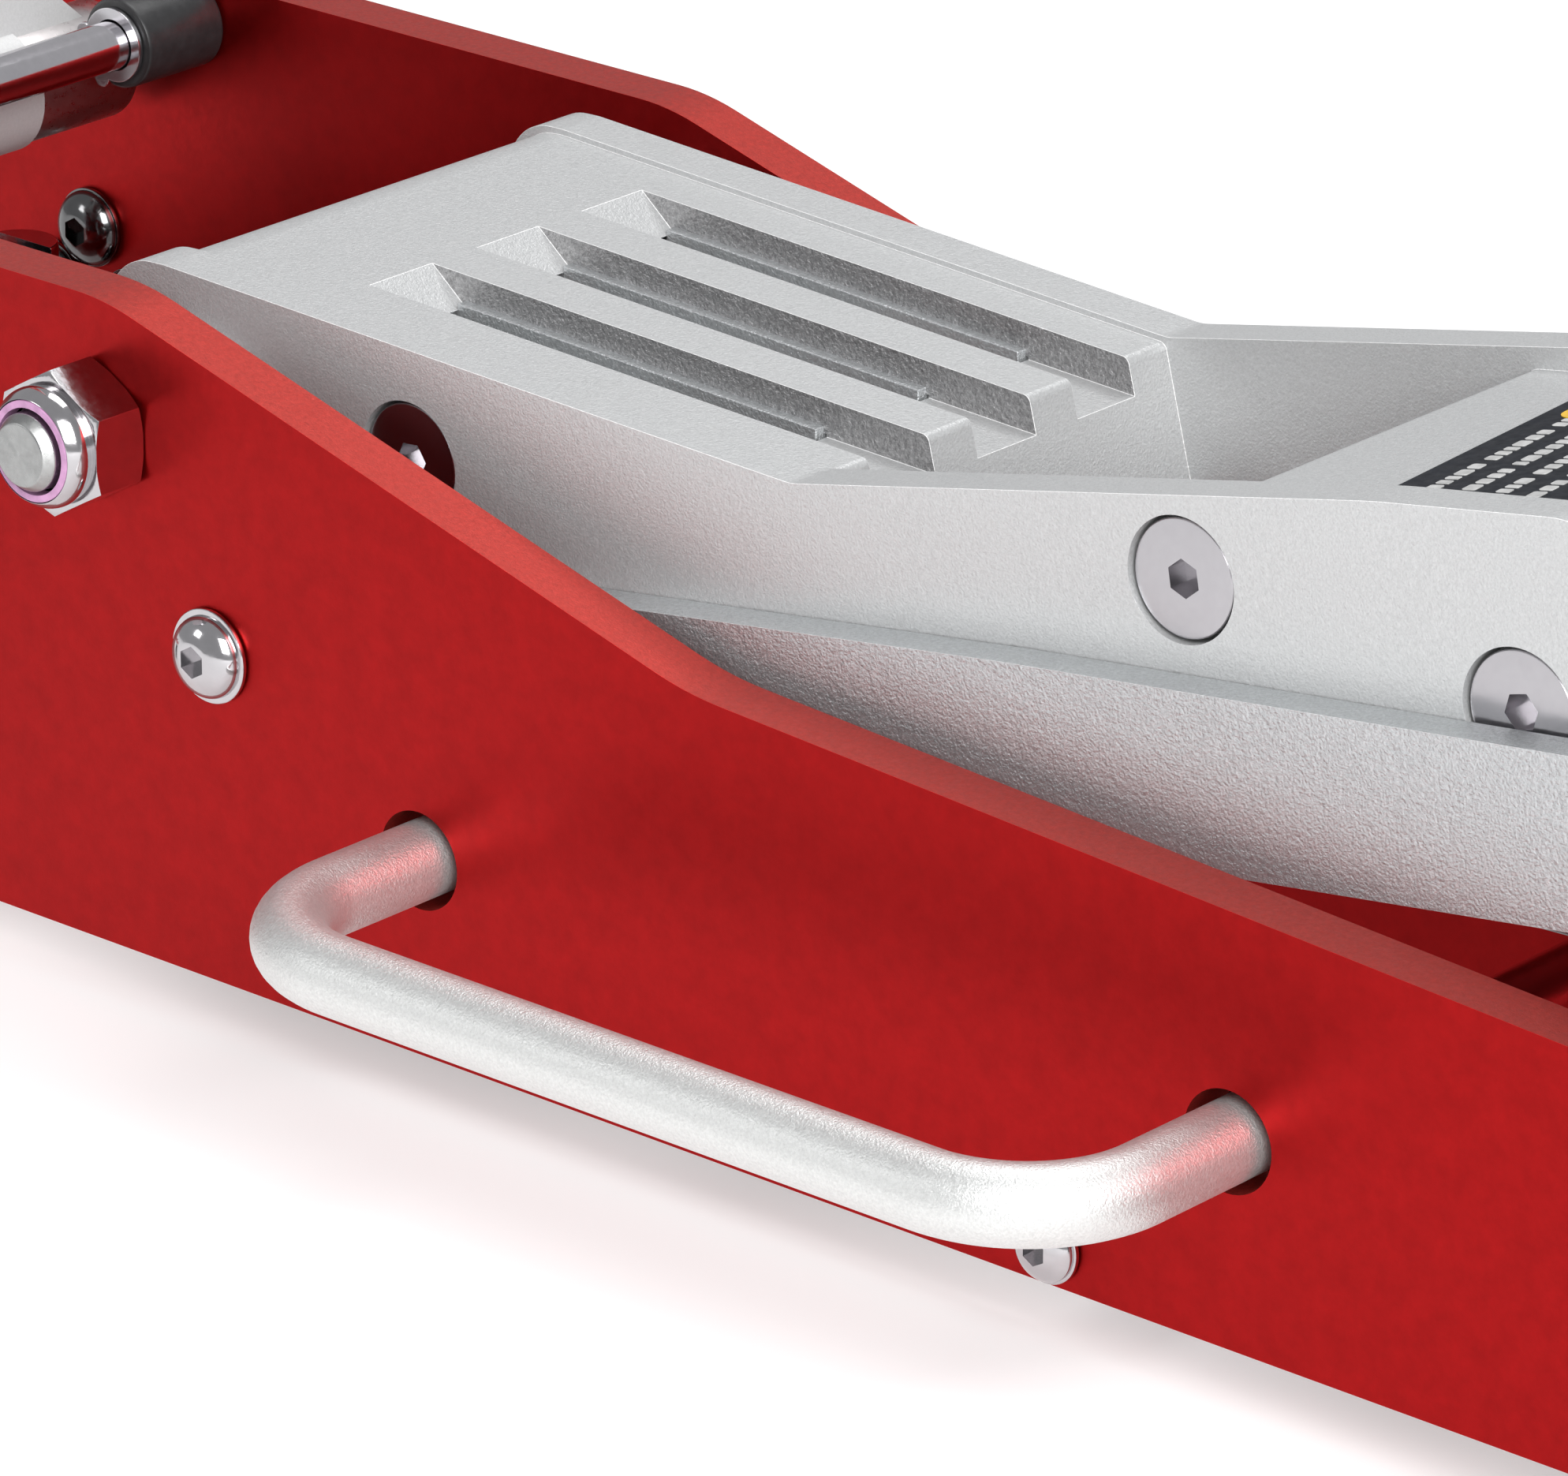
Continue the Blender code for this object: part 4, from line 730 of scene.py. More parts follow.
def stop_rod():
    shaft(
        "stop_rod", STOP_ROD_RADIUS, PLATE_HALF_WIDTH - 0.0005, STOP_ROD, CHROME, "chassis", "chrome",
        "handle_stop_rod", 0.0008,
    )
    length = PLATE_INNER - GAP - STOP_SLEEVE_INNER_END
    half = length / 2
    inner, outer = STOP_ROD_RADIUS + GAP, STOP_SLEEVE_RADIUS
    sleeve = eased([(inner, half), (outer, half), (outer, -half), (inner, -half)], 0.001, 4)
    clip = circlip()
    for name, side in SIDES:
        middle = on_side(side, STOP_ROD, STOP_SLEEVE_INNER_END + half)
        piece(
            name + "_sleeve", turned(sleeve, "Y", closed=True), BLACK_PLASTIC, "chassis", "black_plastic",
            name + "_stop_sleeve", position=middle,
        )
        seat = on_side(side, STOP_ROD, STOP_SLEEVE_INNER_END - GAP - 0.0006)
        piece(
            name + "_circlip", clip.copy(), CLIP_STEEL, "chassis", "bright_steel", name + "_stop_circlip",
            position=seat, rotation=(0, -119, 0),
        )


def front_axle():
    head = PLATE_HALF_WIDTH + WHEEL_WIDTH + 0.0016
    end = [(0, head + 0.004), (0.005, head + 0.0038), (0.0085, head + 0.0029), (0.0112, head + 0.001)]
    profile = mirrored(eased(end + [(0.0112, head), (0.008, head)], 0.0004))
    seat = (FRONT_AXLE[0], 0, FRONT_AXLE[1])
    piece("axle", turned(profile, "Y"), BRIGHT, "chassis", "bright_steel", "front_axle", position=seat)


def front_wheel(name, side):
    half = WHEEL_WIDTH / 2
    profile = [(0.0083, half - 0.001), (0.015, half - 0.001), (0.017, half - 0.006), (0.027, half - 0.006)]
    profile += [(0.029, half), (WHEEL_RADIUS - 0.003, half), (WHEEL_RADIUS, half - 0.004)]
    profile += [(WHEEL_RADIUS, 0.004 - half), (WHEEL_RADIUS - 0.003, -half), (0.0083, -half)]
    wheel = turned(eased(profile, 0.0012, 4), "Y", 96, closed=True)
    middle = on_side(side, FRONT_AXLE, PLATE_HALF_WIDTH + 0.001 + half)
    piece(
        name + "_wheel", wheel, STEEL, name + "_front_wheel", "steel", name + "_front_wheel",
        position=middle, rotation=(0, 0, 0) if side > 0 else (0, 0, 180),
    )


def pump_block():
    length, height = 0.098, 0.052
    middle = -0.118 - length / 2
    body = at(block(length, 0.086, height), (middle, 0, 0.006 + height / 2))
    body = softened(body, 0.004, 4)
    seat = at(block(0.04, 2 * (PLATE_INNER - GAP), 0.03), (-0.146, 0, 0.026))
    barrel = bore_up(0.015, PLUNGER_X, 0, BLOCK_TOP - 0.005, 0.02, 64)
    boss = bore_up(0.011, *VALVE, BLOCK_TOP - 0.005, 0.02)
    holes = [bore_up(0.0073, PLUNGER_X, 0, 0.055, 0.06), bore_up(0.0063, *VALVE, 0.06, 0.04)]
    body = softened(combine(body, [seat, barrel, boss], holes), 0.0007, 2)
    piece("pump_body", body, RED_PAINT, "chassis", "red_paint", "pump_block")
    plug = [(0, 0.0052), (0.006, 0.0052), (0.0075, 0.004), (0.0075, 0.0006), (0.0085, 0.0006)]
    plug += [(0.0085, 0), (0, 0)]
    filler = socketed(turned(eased(plug, 0.0004)), 0.006, 0.003, 0.0052)
    piece("filler_plug", filler, BRIGHT, "chassis", "bright_steel", position=(-0.196, -0.028, 0.0582))


def ram_cylinder():
    rear, front = -0.118 + GAP, -0.044
    profile = [(0.0126, front), (0.024, front), (0.027, front - 0.003), (0.027, rear), (0, rear)]
    profile += [(0, rear + 0.004), (0.0126, rear + 0.004)]
    tube = turned(eased(profile, 0.0006) + [profile[-1]], "X", 72, closed=True)
    piece("cylinder_tube", tube, STEEL, "chassis", "steel", "ram_cylinder", position=(0, 0, RAM_Z))


def caster_bracket(name, side):
    near = PLATE_HALF_WIDTH + GAP
    shelf_end = CASTER_SWIVEL[1] + 0.019
    inner, top = near + SHELF_THICKNESS, 0.092
    outline = rounded(
        [
            (near, SHELF_Z, 0.003), (shelf_end, SHELF_Z, 0), (shelf_end, SHELF_Z + SHELF_THICKNESS, 0),
            (inner, SHELF_Z + SHELF_THICKNESS, 0.002), (inner, top, 0), (near, top, 0),
        ]
    )
    mesh = prism(outline, 0.056)
    mesh.transform(Matrix.Rotation(math.radians(90 if side > 0 else -90), 4, "Z"))
    at(mesh, (-0.1775, 0, 0))
    holes = [bore(0.0053, point, side * PLATE_HALF_WIDTH, 0.03) for point in BRACKET_SCREWS]
    holes.append(bore_up(0.0063, CASTER_SWIVEL[0], side * CASTER_SWIVEL[1], SHELF_Z, 0.03))
    bracket = softened(combine(mesh, cut=holes), 0.0009, 2)
    piece(name + "_bracket", bracket, RED_PAINT, "chassis", "red_paint", name + "_caster_bracket")
    screw = button_screw(0.00875, 0.0062, 0.0092, 0.005, PLATE_THICKNESS + SHELF_THICKNESS + 0.003, 0.006)
    for number, point in enumerate(BRACKET_SCREWS, 1):
        node = f"{name}_bracket_screw_{number}"
        button = node.replace("screw", "button")
        fitted(button, screw.copy(), DARK_HEAD, side, point, PLATE_INNER - GAP, node, inward=True)


def caster(name, side):
    x, y = CASTER_SWIVEL
    top = SHELF_Z - GAP
    axle_x, axle_z = CASTER_AXLE
    plate = cylinder(0.0165, 0.004, "Z")
    kingpin = SHELF_THICKNESS + 0.006
    shapes = [at(cylinder(0.006, kingpin, "Z", 40), (0, 0, 0.001 + kingpin / 2))]
    shapes.append(at(cylinder(0.0095, 0.004, "Z", 48, 0.0075), (0, 0, SHELF_THICKNESS + 2 * GAP + 0.004)))
    cheek = rounded([(-0.012, 0, 0), (0.012, 0, 0)])
    cheek += arc((axle_x - x, axle_z - top + 0.002), 0.009, -20, -200, 24)
    for sign in (-1, 1):
        offset = sign * (CASTER_WIDTH / 2 + 0.0025)
        shapes.append(at(prism(cheek, 0.003), (0, offset, 0)))
    shapes.append(at(cylinder(0.004, CASTER_WIDTH + 0.012, "Y", 40), (axle_x - x, 0, axle_z - top + 0.002)))
    fork = softened(combine(plate, shapes), 0.0005, 2)
    piece(
        name + "_fork", fork, BRIGHT, name + "_caster_fork", "steel", name + "_caster_fork",
        position=(x, side * y, top - 0.002),
    )
    half = CASTER_WIDTH / 2
    profile = [(0.0043, half), (0.009, half), (0.011, half - 0.003), (0.018, half - 0.003)]
    profile += [(CASTER_RADIUS - 0.003, half - 0.0005), (CASTER_RADIUS, half - 0.004)]
    wheel = turned(eased(mirrored(profile), 0.0009, 3), "Y", 72, closed=True)
    piece(
        name + "_roller_wheel", wheel, WHEEL_PLASTIC, name + "_caster_wheel", "black_plastic",
        name + "_caster_wheel", position=(axle_x, side * y, axle_z),
    )


# ---- Lift arm ----
def arm_scale(x):
    """How wide the arm is at x, as a share of its nominal width."""
    return 1.031 - 0.258 * (x + 0.01)


def tapered(mesh):
    for vertex in mesh.vertices:
        vertex.co.y *= arm_scale(vertex.co.x)
    return mesh


def arm_shell():
    under = shift([(0.056, 0.091)] + LEDGE, 0, -SHELL_OVERLAP)
    lower = [(-0.018, 0.094), (0.056, 0.0955)] + under
    top = rounded(
        [
            (-0.0205, lower[0][1], 0), (-0.0215, 0.1385, 0.0125), (*DECK_REAR, 0.02), (*DECK_FRONT, 0.012),
            (0.3, 0.1612, 0.15), (0.344, 0.1683, 0.02), (0.363, 0.163, 0.012), (0.372, 0.14, 0),
        ]
    )
    outline = top + list(reversed(lower[1:]))
    channel = [(-0.05, 0.03), (0.45, 0.03), (0.45, 0.25), (-0.05, 0.25)]
    walls = combine(prism(outline, 2 * ARM_HALF_WIDTH), cut=[prism(channel, 2 * ARM_INNER_HALF)])
    drop = 0.0013
    sill_rear, face_foot, foot_z, rear_foot = 0.135, 0.1685, 0.102, 0.1225
    deck = rounded(
        [
            (-0.019, rear_foot, 0), (-0.0205, 0.1365, 0.012), (DECK_REAR[0], DECK_REAR[1] - drop, 0.02),
            (DECK_FRONT[0] - 0.0004, DECK_FRONT[1] - drop, 0.002), (face_foot, foot_z, 0),
            (sill_rear, foot_z, 0), (sill_rear, DECK_FRONT[1] - 0.0072, 0),
            (-0.0125, DECK_REAR[1] - 0.008, 0), (-0.0155, rear_foot, 0),
        ]
    )
    rear, front = FRONT_PLATE
    wall = 0.0052
    plate = rounded(
        [
            (rear[0], 0.13, 0), (*rear, 0.004), (*front, 0.002), (front[0], 0.138, 0),
            (front[0] - wall, 0.138, 0), (front[0] - wall, front[1] - wall - 0.001, 0),
            (rear[0] + wall, rear[1] - wall + 0.001, 0), (rear[0] + wall, 0.13, 0),
        ]
    )
    span = 2 * ARM_INNER_HALF + 0.005
    slot = [(0.0265, 0.16), (0.0275, 0.1374), (0.0385, 0.1285), (0.0385, 0.11), (sill_rear - 0.0005, 0.11)]
    slot += [(sill_rear - 0.0005, 0.1239), (0.175, 0.1222), (0.175, 0.16)]
    slots = [at(prism(slot, SLOT_WIDTH), (0, y, 0)) for y in SLOT_CENTRES_Y]
    tie_x, tie_z = ARM_SCREWS[1]
    tie = bore(0.0095, (tie_x, tie_z - 0.0013), 0, 2 * ARM_INNER_HALF + 0.004)
    shell = combine(walls, [prism(deck, span), prism(plate, span)], slots)
    shell = tapered(combine(shell, [tie]))
    shell = combine(shell, cut=[bore(BOSS_RADIUS + 2 * GAP, ARM_SHAFT)])
    # The bevels take the near-white edge grey: partly wear, partly a painted highlight.
    shell = bevelled(shell, 0.001, 3, wear_and_highlight=True)
    holes = []
    for point in ARM_SCREWS:
        outer = ARM_HALF_WIDTH * arm_scale(point[0])
        holes.append(bore(0.0063, point, 0, 0.2, sides=32))
        holes += [bore(0.0126, point, side * (outer + 0.0018), 0.02) for side in (-1, 1)]
    shell = softened(combine(shell, cut=holes), 0.0003, 2, 60, wear_and_highlight=True)
    # Side walls of the slots take the darker grey: painted shade inside the slots.
    for polygon in shell.polygons:
        x, y = polygon.center.x, polygon.center.y / arm_scale(polygon.center.x)
        near = min(abs(y - centre) for centre in SLOT_CENTRES_Y) < SLOT_WIDTH / 2 + 0.0003
        if near and polygon.material_index == 0 and 0.0275 < x < 0.1605 and abs(polygon.normal.y) > 0.7:
            polygon.material_index = 2
    piece(
        "shell", shell, CAST_SMOOTH, "lift_arm", "cast_aluminium", "arm_shell", others=(CAST_EDGE_WEAR_AND_HIGHLIGHT, CAST_SLOT_SHADE),
    )


def deck_ribs():
    """Ribs cast under the deck, which show as a step in the far wall of each slot."""
    under_deck = ((0.038, 0.1185), (0.038, 0.1304), (0.1343, 0.126), (0.1343, 0.1185))
    ribs = [at(prism(under_deck, 0.004), (0, y + 0.0085, 0)) for y in SLOT_CENTRES_Y]
    webs = [at(block(0.05, 0.02, 0.003), (0.061, y - 0.0015, 0.118)) for y in SLOT_CENTRES_Y]
    mesh = tapered(combine(ribs[0], ribs[1:] + webs))
    piece("deck_ribs", softened(mesh, 0.0003, 2, 60), CAST_ROUGH, "lift_arm", "cast_aluminium")


def arm_frame():
    outline = [(0.06, 0.056), (0.2956, 0.0861), (0.3571, 0.094), (SADDLE_PIVOT[0], 0.1045)]
    outline += arc(SADDLE_PIVOT, 0.0235, -90, 110, 40)
    ledge = [(0.06, 0.0914)] + LEDGE
    outline += list(reversed(ledge))
    rebate = shift(ledge, 0, -SHELL_OVERLAP - GAP)
    rebate = [(0.04, rebate[0][1] - 0.0025)] + rebate[1:-1] + [(0.373, rebate[-1][1])]
    rebate += [(0.373, 0.2), (0.04, 0.2)]
    wall = SKIRT_HALF_WIDTH - SKIRT_INNER_HALF
    skirts = []
    for side in (-1, 1):
        middle = side * (SKIRT_HALF_WIDTH + SKIRT_INNER_HALF) / 2
        skirt = at(prism(outline, wall), (0, middle, 0))
        skirts.append(tapered(combine(skirt, cut=[prism(rebate, 2 * (ARM_HALF_WIDTH + GAP))])))
    cheek = arc(ARM_SHAFT, BOSS_RADIUS + 0.0006, 250, 60, 30)
    cheek += [(0.06, 0.118), (0.094, 0.106), (0.1, 0.064), (0.068, 0.059), (0.06, 0.09)]
    joined = []
    for side in (-1, 1):
        joined.append(at(prism(cheek, 0.008), (0, side * 0.0455, 0)))
        joined.append(at(block(0.026, 0.018, 0.014), (0.083, side * 0.0505, 0.0695)))
    joined.append(at(block(0.016, 0.112, 0.0085), (0.353, 0, 0.1078)))
    joined.append(skirts[1])
    joined.append(bore(BOSS_RADIUS, ARM_SHAFT, 0, 2 * (PLATE_INNER - 0.0006)))
    hub, pin = Vector(ARM_SHAFT), Vector(CRANK_PIN)
    crank = pin - hub
    across = Vector((-crank.y, crank.x)).normalized()
    lug = [tuple(hub + across * 0.016), tuple(hub - across * 0.016)]
    turn = math.degrees(math.atan2(crank.y, crank.x))
    lug += arc(CRANK_PIN, 0.0105, turn - 90, turn + 90, 24)
    joined += [at(prism(lug, 0.009), (0, side * 0.0185, 0)) for side in (-1, 1)]
    casting = combine(skirts[0], joined)
    # The bevels take the near-white edge grey: partly wear, partly a painted highlight.
    casting = bevelled(casting, 0.0009, 2, wear_and_highlight=True)
    crank_pin = bore(0.006, CRANK_PIN, 0, 0.042)
    holes = [bore(0.0093, ARM_SHAFT), bore(0.0083, SADDLE_PIVOT), bore(0.0063, ARM_SCREWS[0], 0, 0.104)]
    casting = softened(combine(casting, [crank_pin], holes), 0.0003, 2, 60)
    piece("casting", casting, CAST_ROUGH, "lift_arm", "cast_aluminium", "arm_frame", others=(CAST_EDGE_WEAR_AND_HIGHLIGHT,))


def arm_fasteners():
    screw = countersunk_screw()
    for number, (x, z) in enumerate(ARM_SCREWS, 1):
        top = ARM_HALF_WIDTH * arm_scale(x) - 0.0009
        for name, side in SIDES:
            node = f"{name}_arm_screw_{number}"
            piece(
                f"{name}_countersunk_{number}", screw.copy(), HEAD_STEEL, "lift_arm", "bright_steel", node,
                position=(x, side * top, z), rotation=(-90 * side, 25 * number, 0),
            )
    shaft("pivot_pin", 0.008, 0.0665, SADDLE_PIVOT, BRIGHT, "lift_arm", "bright_steel", "saddle_pin")


def sticker():
    """A dark label on the front plate with plain bars and a frame in place of any writing."""
    rear, front = FRONT_PLATE
    rise = (front[1] - rear[1]) / (front[0] - rear[0])
    slope = math.degrees(math.atan(rise))
    depth, width, thickness, skew = 0.042, 0.084, 0.0002, 6.1
    centre_x = 0.302
    top = rear[1] + rise * (centre_x - rear[0]) + 0.0004

    def flat(length, across, x, y, level):
        half_x, half_y, corner = length / 2, across / 2, min(length, across) * 0.2
        corners = ((-half_x, -half_y), (half_x, -half_y), (half_x, half_y), (-half_x, half_y))
        mesh = prism(rounded([(*point, corner) for point in corners], 15), thickness)
        mesh.transform(Matrix.Rotation(math.radians(-90), 4, "X"))
        mesh.transform(Matrix.Translation((x, y, level * thickness)))
        mesh.transform(Matrix.Rotation(math.radians(skew), 4, "Z"))
        return mesh

    def label_part(name, mesh, material):
        position = (centre_x, 0, top)
        piece(name, mesh, material, "lift_arm", "cast_aluminium", position=position, rotation=(0, -slope, 0))

    label_part("label", flat(depth, width, 0, 0, 0), STICKER_BLACK)
    bars = []
    for row in range(4):
        x = -depth / 2 + 0.0085 + row * 0.0078
        y = -width / 2 + 0.006 + 0.0015 * (row % 2)
        for number in range(14):
            length = (0.003, 0.0018, 0.0026, 0.0036, 0.0022)[(number * 2 + row) % 5]
            bars.append(flat(0.003, length, x, y + length / 2, 1))
            y += length + (0.0032 if (number + row) % 6 == 5 else 0.0011)
    work = bmesh.new()
    for bar in bars:
        work.from_mesh(bar)
    label_part("label_bars", finished(work, "rows"), STICKER_WHITE)
    label_part("label_panel", flat(0.026, 0.02, -0.004, width / 2 - 0.013, 1), STICKER_YELLOW)
    label_part("label_panel_face", flat(0.0235, 0.0175, -0.004, width / 2 - 0.013, 2), STICKER_BLACK)


# ---- Saddle ----
def saddle_bracket():
    px, pz = SADDLE_PIVOT
    seat_x = px + 0.008
    outline = arc(SADDLE_PIVOT, 0.0158, 60, 200, 24) + arc(ROD_PIN, 0.0095, 232, 412, 24)
    joined = [prism(outline, 0.05), bore_up(0.032, seat_x, 0, pz + 0.0147, 0.0105, 72)]
    body = combine(at(cylinder(0.0155, 0.095, "Y"), (px, 0, pz)), joined)
    body = bevelled(body, 0.0012, 3, 40)
    pin = bore(0.006, ROD_PIN, 0, 0.074)
    holes = [bore(0.0083, SADDLE_PIVOT), bore_up(0.0093, seat_x, 0, pz + 0.0177, 0.014)]
    body = softened(combine(body, [pin], holes), 0.0003, 2, 60)
    piece("bracket", body, STEEL, "saddle_bracket", "steel", "saddle_bracket")


def saddle():
    base = 0.0003
    floor, rim, outer = base + 0.006, base + 0.018, 0.046
    profile = [(0, floor), (0.037, floor), (0.039, rim), (outer - 0.001, rim), (outer, rim - 0.0015)]
    profile += [(outer, base + 0.004), (0.04, base), (0.009, base)]
    profile += [(0.009, base - 0.0085), (0, base - 0.0085)]
    cup = turned(eased(profile, 0.001), sides=96)
    notches = [at(block(0.12, 0.016, 0.01), (0, 0, floor + 0.0075), (0, 0, angle)) for angle in (0, 90)]
    cup = softened(combine(cup, cut=notches), 0.0006, 2, 40)
    centre = (SADDLE_CENTRE[0], 0, SADDLE_CENTRE[1])
    piece("saddle_cup", cup, STEEL, "saddle", "steel", "saddle", position=centre)
    top = floor + 0.0075
    pad = [(0, top)]
    for number in range(4):
        radius = 0.006 + number * 0.0072
        steps = ((0, 0), (0.0008, 0.001), (0.002, 0.001), (0.0028, 0))
        pad += [(radius + out, top - down) for out, down in steps]
    pad += [(0.0335, top), (0.035, top - 0.0015), (0.035, floor + GAP), (0, floor + GAP)]
    piece(
        "pad", turned(eased(pad, 0.0004), sides=96), RUBBER, "saddle", "rubber", "saddle_pad",
        position=centre,
    )


def control_rods():
    along = Vector(ROD_PIN) - Vector(ROD_ANCHOR)
    turn = math.degrees(math.atan2(along.y, along.x))
    outline = arc(ROD_ANCHOR, 0.0115, turn + 45, turn + 315, 40)
    outline += arc(ROD_PIN, 0.0095, turn - 125, turn + 125, 36)
    for name, side in SIDES:
        bar = at(prism(outline, 0.008), (0, side * 0.032, 0))
        bar = combine(bar, cut=[bore(0.0073, ROD_ANCHOR), bore(0.0063, ROD_PIN)])
        piece(name + "_rod", softened(bar, 0.0008, 2), STEEL, "control_rods", "steel", name + "_control_rod")


def ram_rod():
    rear = -0.1
    head = (CRANK_PIN[0] - 0.014, CRANK_PIN[0] + 0.0135)
    length = head[0] - rear + 0.004
    size = head[1] - head[0]
    fork = softened(at(block(size, 0.025, 0.034), (sum(head) / 2, 0, RAM_Z)), 0.0025, 3)
    corners = ((-1, -1), (1, -1), (1, 1), (-1, 1))
    slot = rounded([(CRANK_PIN[0] + sx * 0.0071, RAM_Z + sz * 0.0112, 0.0035) for sx, sz in corners])
    rod = at(cylinder(0.0122, length, "X", 72), (rear + length / 2, 0, RAM_Z))
    rod = softened(combine(rod, [fork], [prism(slot, 0.1)]), 0.0005, 2, 40)
    piece("piston_rod", rod, CHROME, "ram", "chrome", "ram_rod")


# ---- Handle and pump ----
def along_handle(distance, across=0.0):
    return YOKE_CENTRE + HANDLE_AXIS * distance + ACROSS * across


def handle_yoke():
    """The white cast socket with its gussets and the pump roller's two arms."""
    tilt = UPRIGHT_TILT
    low, high = 0.0125, 0.092
    barrel = at(cylinder(0.0143, 0.08), YOKE_CENTRE)
    socket = at(cylinder(0.0225, high - low, "Z", 72), along_handle((low + high) / 2), tilt)
    collar = at(cylinder(0.025, 0.014, "Z", 72), along_handle(high - 0.007), tilt)
    arms = []
    turn = ROLLER_REST_ANGLE
    for side in (-1, 1):
        outline = arc(ROLLER, 0.0075, turn - 90, turn + 90, 24)
        outline += arc(YOKE_SHAFT, 0.014, turn + 120, turn + 240, 16)
        arms.append(at(prism(outline, 0.006), (0, side * 0.0145, 0)))
        corners = ((0.015, 0.056), (0.015, 0.004), (0.062, 0.003), (0.062, 0.0105))
        gusset = prism([(side * y, up) for y, up in corners], 0.015)
        gusset.transform(Matrix.Rotation(math.radians(90), 4, "Z"))
        arms.append(at(gusset, YOKE_CENTRE, tilt))
    slot = at(block(0.03, 0.0225, 0.03), (ROLLER[0] - 0.002, 0, ROLLER[1]))
    socket_bore = at(cylinder(HANDLE_RADIUS + GAP, 0.12, "Z", 72), along_handle(0.0825), tilt)
    screw_hole = at(cylinder(0.0043, 0.03, "X", 32), along_handle(0.085, 0.028), tilt)
    body = combine(barrel, [socket, collar, *arms], [slot])
    body = bevelled(body, 0.0012, 3, 40)
    pin = bore(0.004, ROLLER, 0, 0.036, sides=40)
    body = combine(body, [pin], [socket_bore, screw_hole, bore(0.0128, YOKE_SHAFT)])
    piece("yoke_casting", softened(body, 0.0003, 2, 60), CAST_WHITE, "yoke", "cast_aluminium", "handle_yoke")


def yoke_hub():
    """The bare turned ends of the yoke's barrel."""
    half, inner = 0.07, 0.04
    hub = eased([(0.0083, half), (0.0135, half), (0.0135, inner), (0.0126, inner - 0.0004)], 0.0008)
    hub = turned(mirrored(hub), "Y", closed=True)
    piece("yoke_hub", hub, HUB_STEEL, "yoke", "cast_aluminium", position=YOKE_CENTRE)


def clamp_knob():
    knob = [(0, 0.0125), (0.0085, 0.0125), (0.01, 0.011), (0.01, 0.002), (0.0085, 0)]
    knob += [(0.004, 0), (0.004, -0.008), (0, -0.008)]
    knob = turned(eased(knob, 0.0007), "X")
    flutes = []
    for number in range(12):
        angle = 2 * math.pi * number / 12
        middle = (0.007, 0.0108 * math.cos(angle), 0.0108 * math.sin(angle))
        flutes.append(at(cylinder(0.0016, 0.03, "X", 20), middle))
    knob = softened(combine(knob, cut=flutes), 0.0003, 2, 40)
    piece(
        "clamp_knob", knob, BLACK_PLASTIC, "yoke", "black_plastic", "handle_clamp_screw",
        position=along_handle(0.085, 0.0255), rotation=UPRIGHT_TILT,
    )


def pump_roller():
    roller = eased([(0.0043, 0.0105), (0.008, 0.0105), (0.008, -0.0105), (0.0043, -0.0105)], 0.0006)
    piece(
        "roller", turned(roller, "Y", closed=True), BRIGHT, "yoke", "steel", "pump_roller",
        position=(ROLLER[0], 0, ROLLER[1]),
    )


def yoke_pin():
    half_length = PLATE_HALF_WIDTH - 0.0005
    shaft("yoke_pin", 0.008, half_length, YOKE_SHAFT, BRIGHT, "chassis", "bright_steel", "yoke_shaft")


def handle():
    start, end, inner = 0.024, HANDLE_LENGTH - 0.004, HANDLE_RADIUS - 0.0025
    tube = eased([(inner, end), (HANDLE_RADIUS, end), (HANDLE_RADIUS, start), (inner, start)], 0.0006)
    piece(
        "tube", turned(tube, sides=80, closed=True), RED_PAINT, "handle", "red_paint", "handle_tube",
        position=YOKE_CENTRE, rotation=UPRIGHT_TILT,
    )
    low = HANDLE_LENGTH - 0.125
    sleeve = HANDLE_RADIUS + GAP
    grip = [(0, HANDLE_LENGTH), (GRIP_RADIUS - 0.003, HANDLE_LENGTH), (GRIP_RADIUS, HANDLE_LENGTH - 0.003)]
    for number in range(12):
        z = HANDLE_LENGTH - 0.013 - number * 0.0085
        groove = GRIP_RADIUS - 0.0013
        grip += [(GRIP_RADIUS, z), (groove, z - 0.0012), (groove, z - 0.0028), (GRIP_RADIUS, z - 0.004)]
    grip += [(GRIP_RADIUS, low), (sleeve, low), (sleeve, end + GAP), (0, end + GAP)]
    piece(
        "grip", turned(eased(grip, 0.0005), sides=80), RUBBER, "handle", "rubber", "handle_grip",
        position=YOKE_CENTRE, rotation=UPRIGHT_TILT,
    )


def plunger():
    top = PLUNGER_TOP
    profile = [(0, top), (0.0086, top), (0.0086, top - 0.005), (0.007, top - 0.005)]
    profile += [(0.007, BLOCK_TOP - 0.008), (0, BLOCK_TOP - 0.008)]
    rod = turned(eased(profile, 0.0005))
    piece("plunger", rod, CHROME, "plunger", "chrome", "pump_plunger", position=(PLUNGER_X, 0, 0))


def pump_spring():
    """A coil spring between the pump block and the plunger's head, riding with the plunger."""
    low, high = BLOCK_TOP + 0.0066, PLUNGER_TOP - 0.0066
    turns, per_turn, coil = 4, 28, 0.0086
    path = []
    for number in range(turns * per_turn + 1):
        share = number / (turns * per_turn)
        angle = 2 * math.pi * turns * share
        path.append((coil * math.cos(angle), coil * math.sin(angle), low + (high - low) * share))
    spring = bent_bar(path, 0.0012, 4)
    coils = piece("spring", spring, BRIGHT, "plunger", "steel", "pump_spring", position=(PLUNGER_X, 0, 0))
    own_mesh(coils)


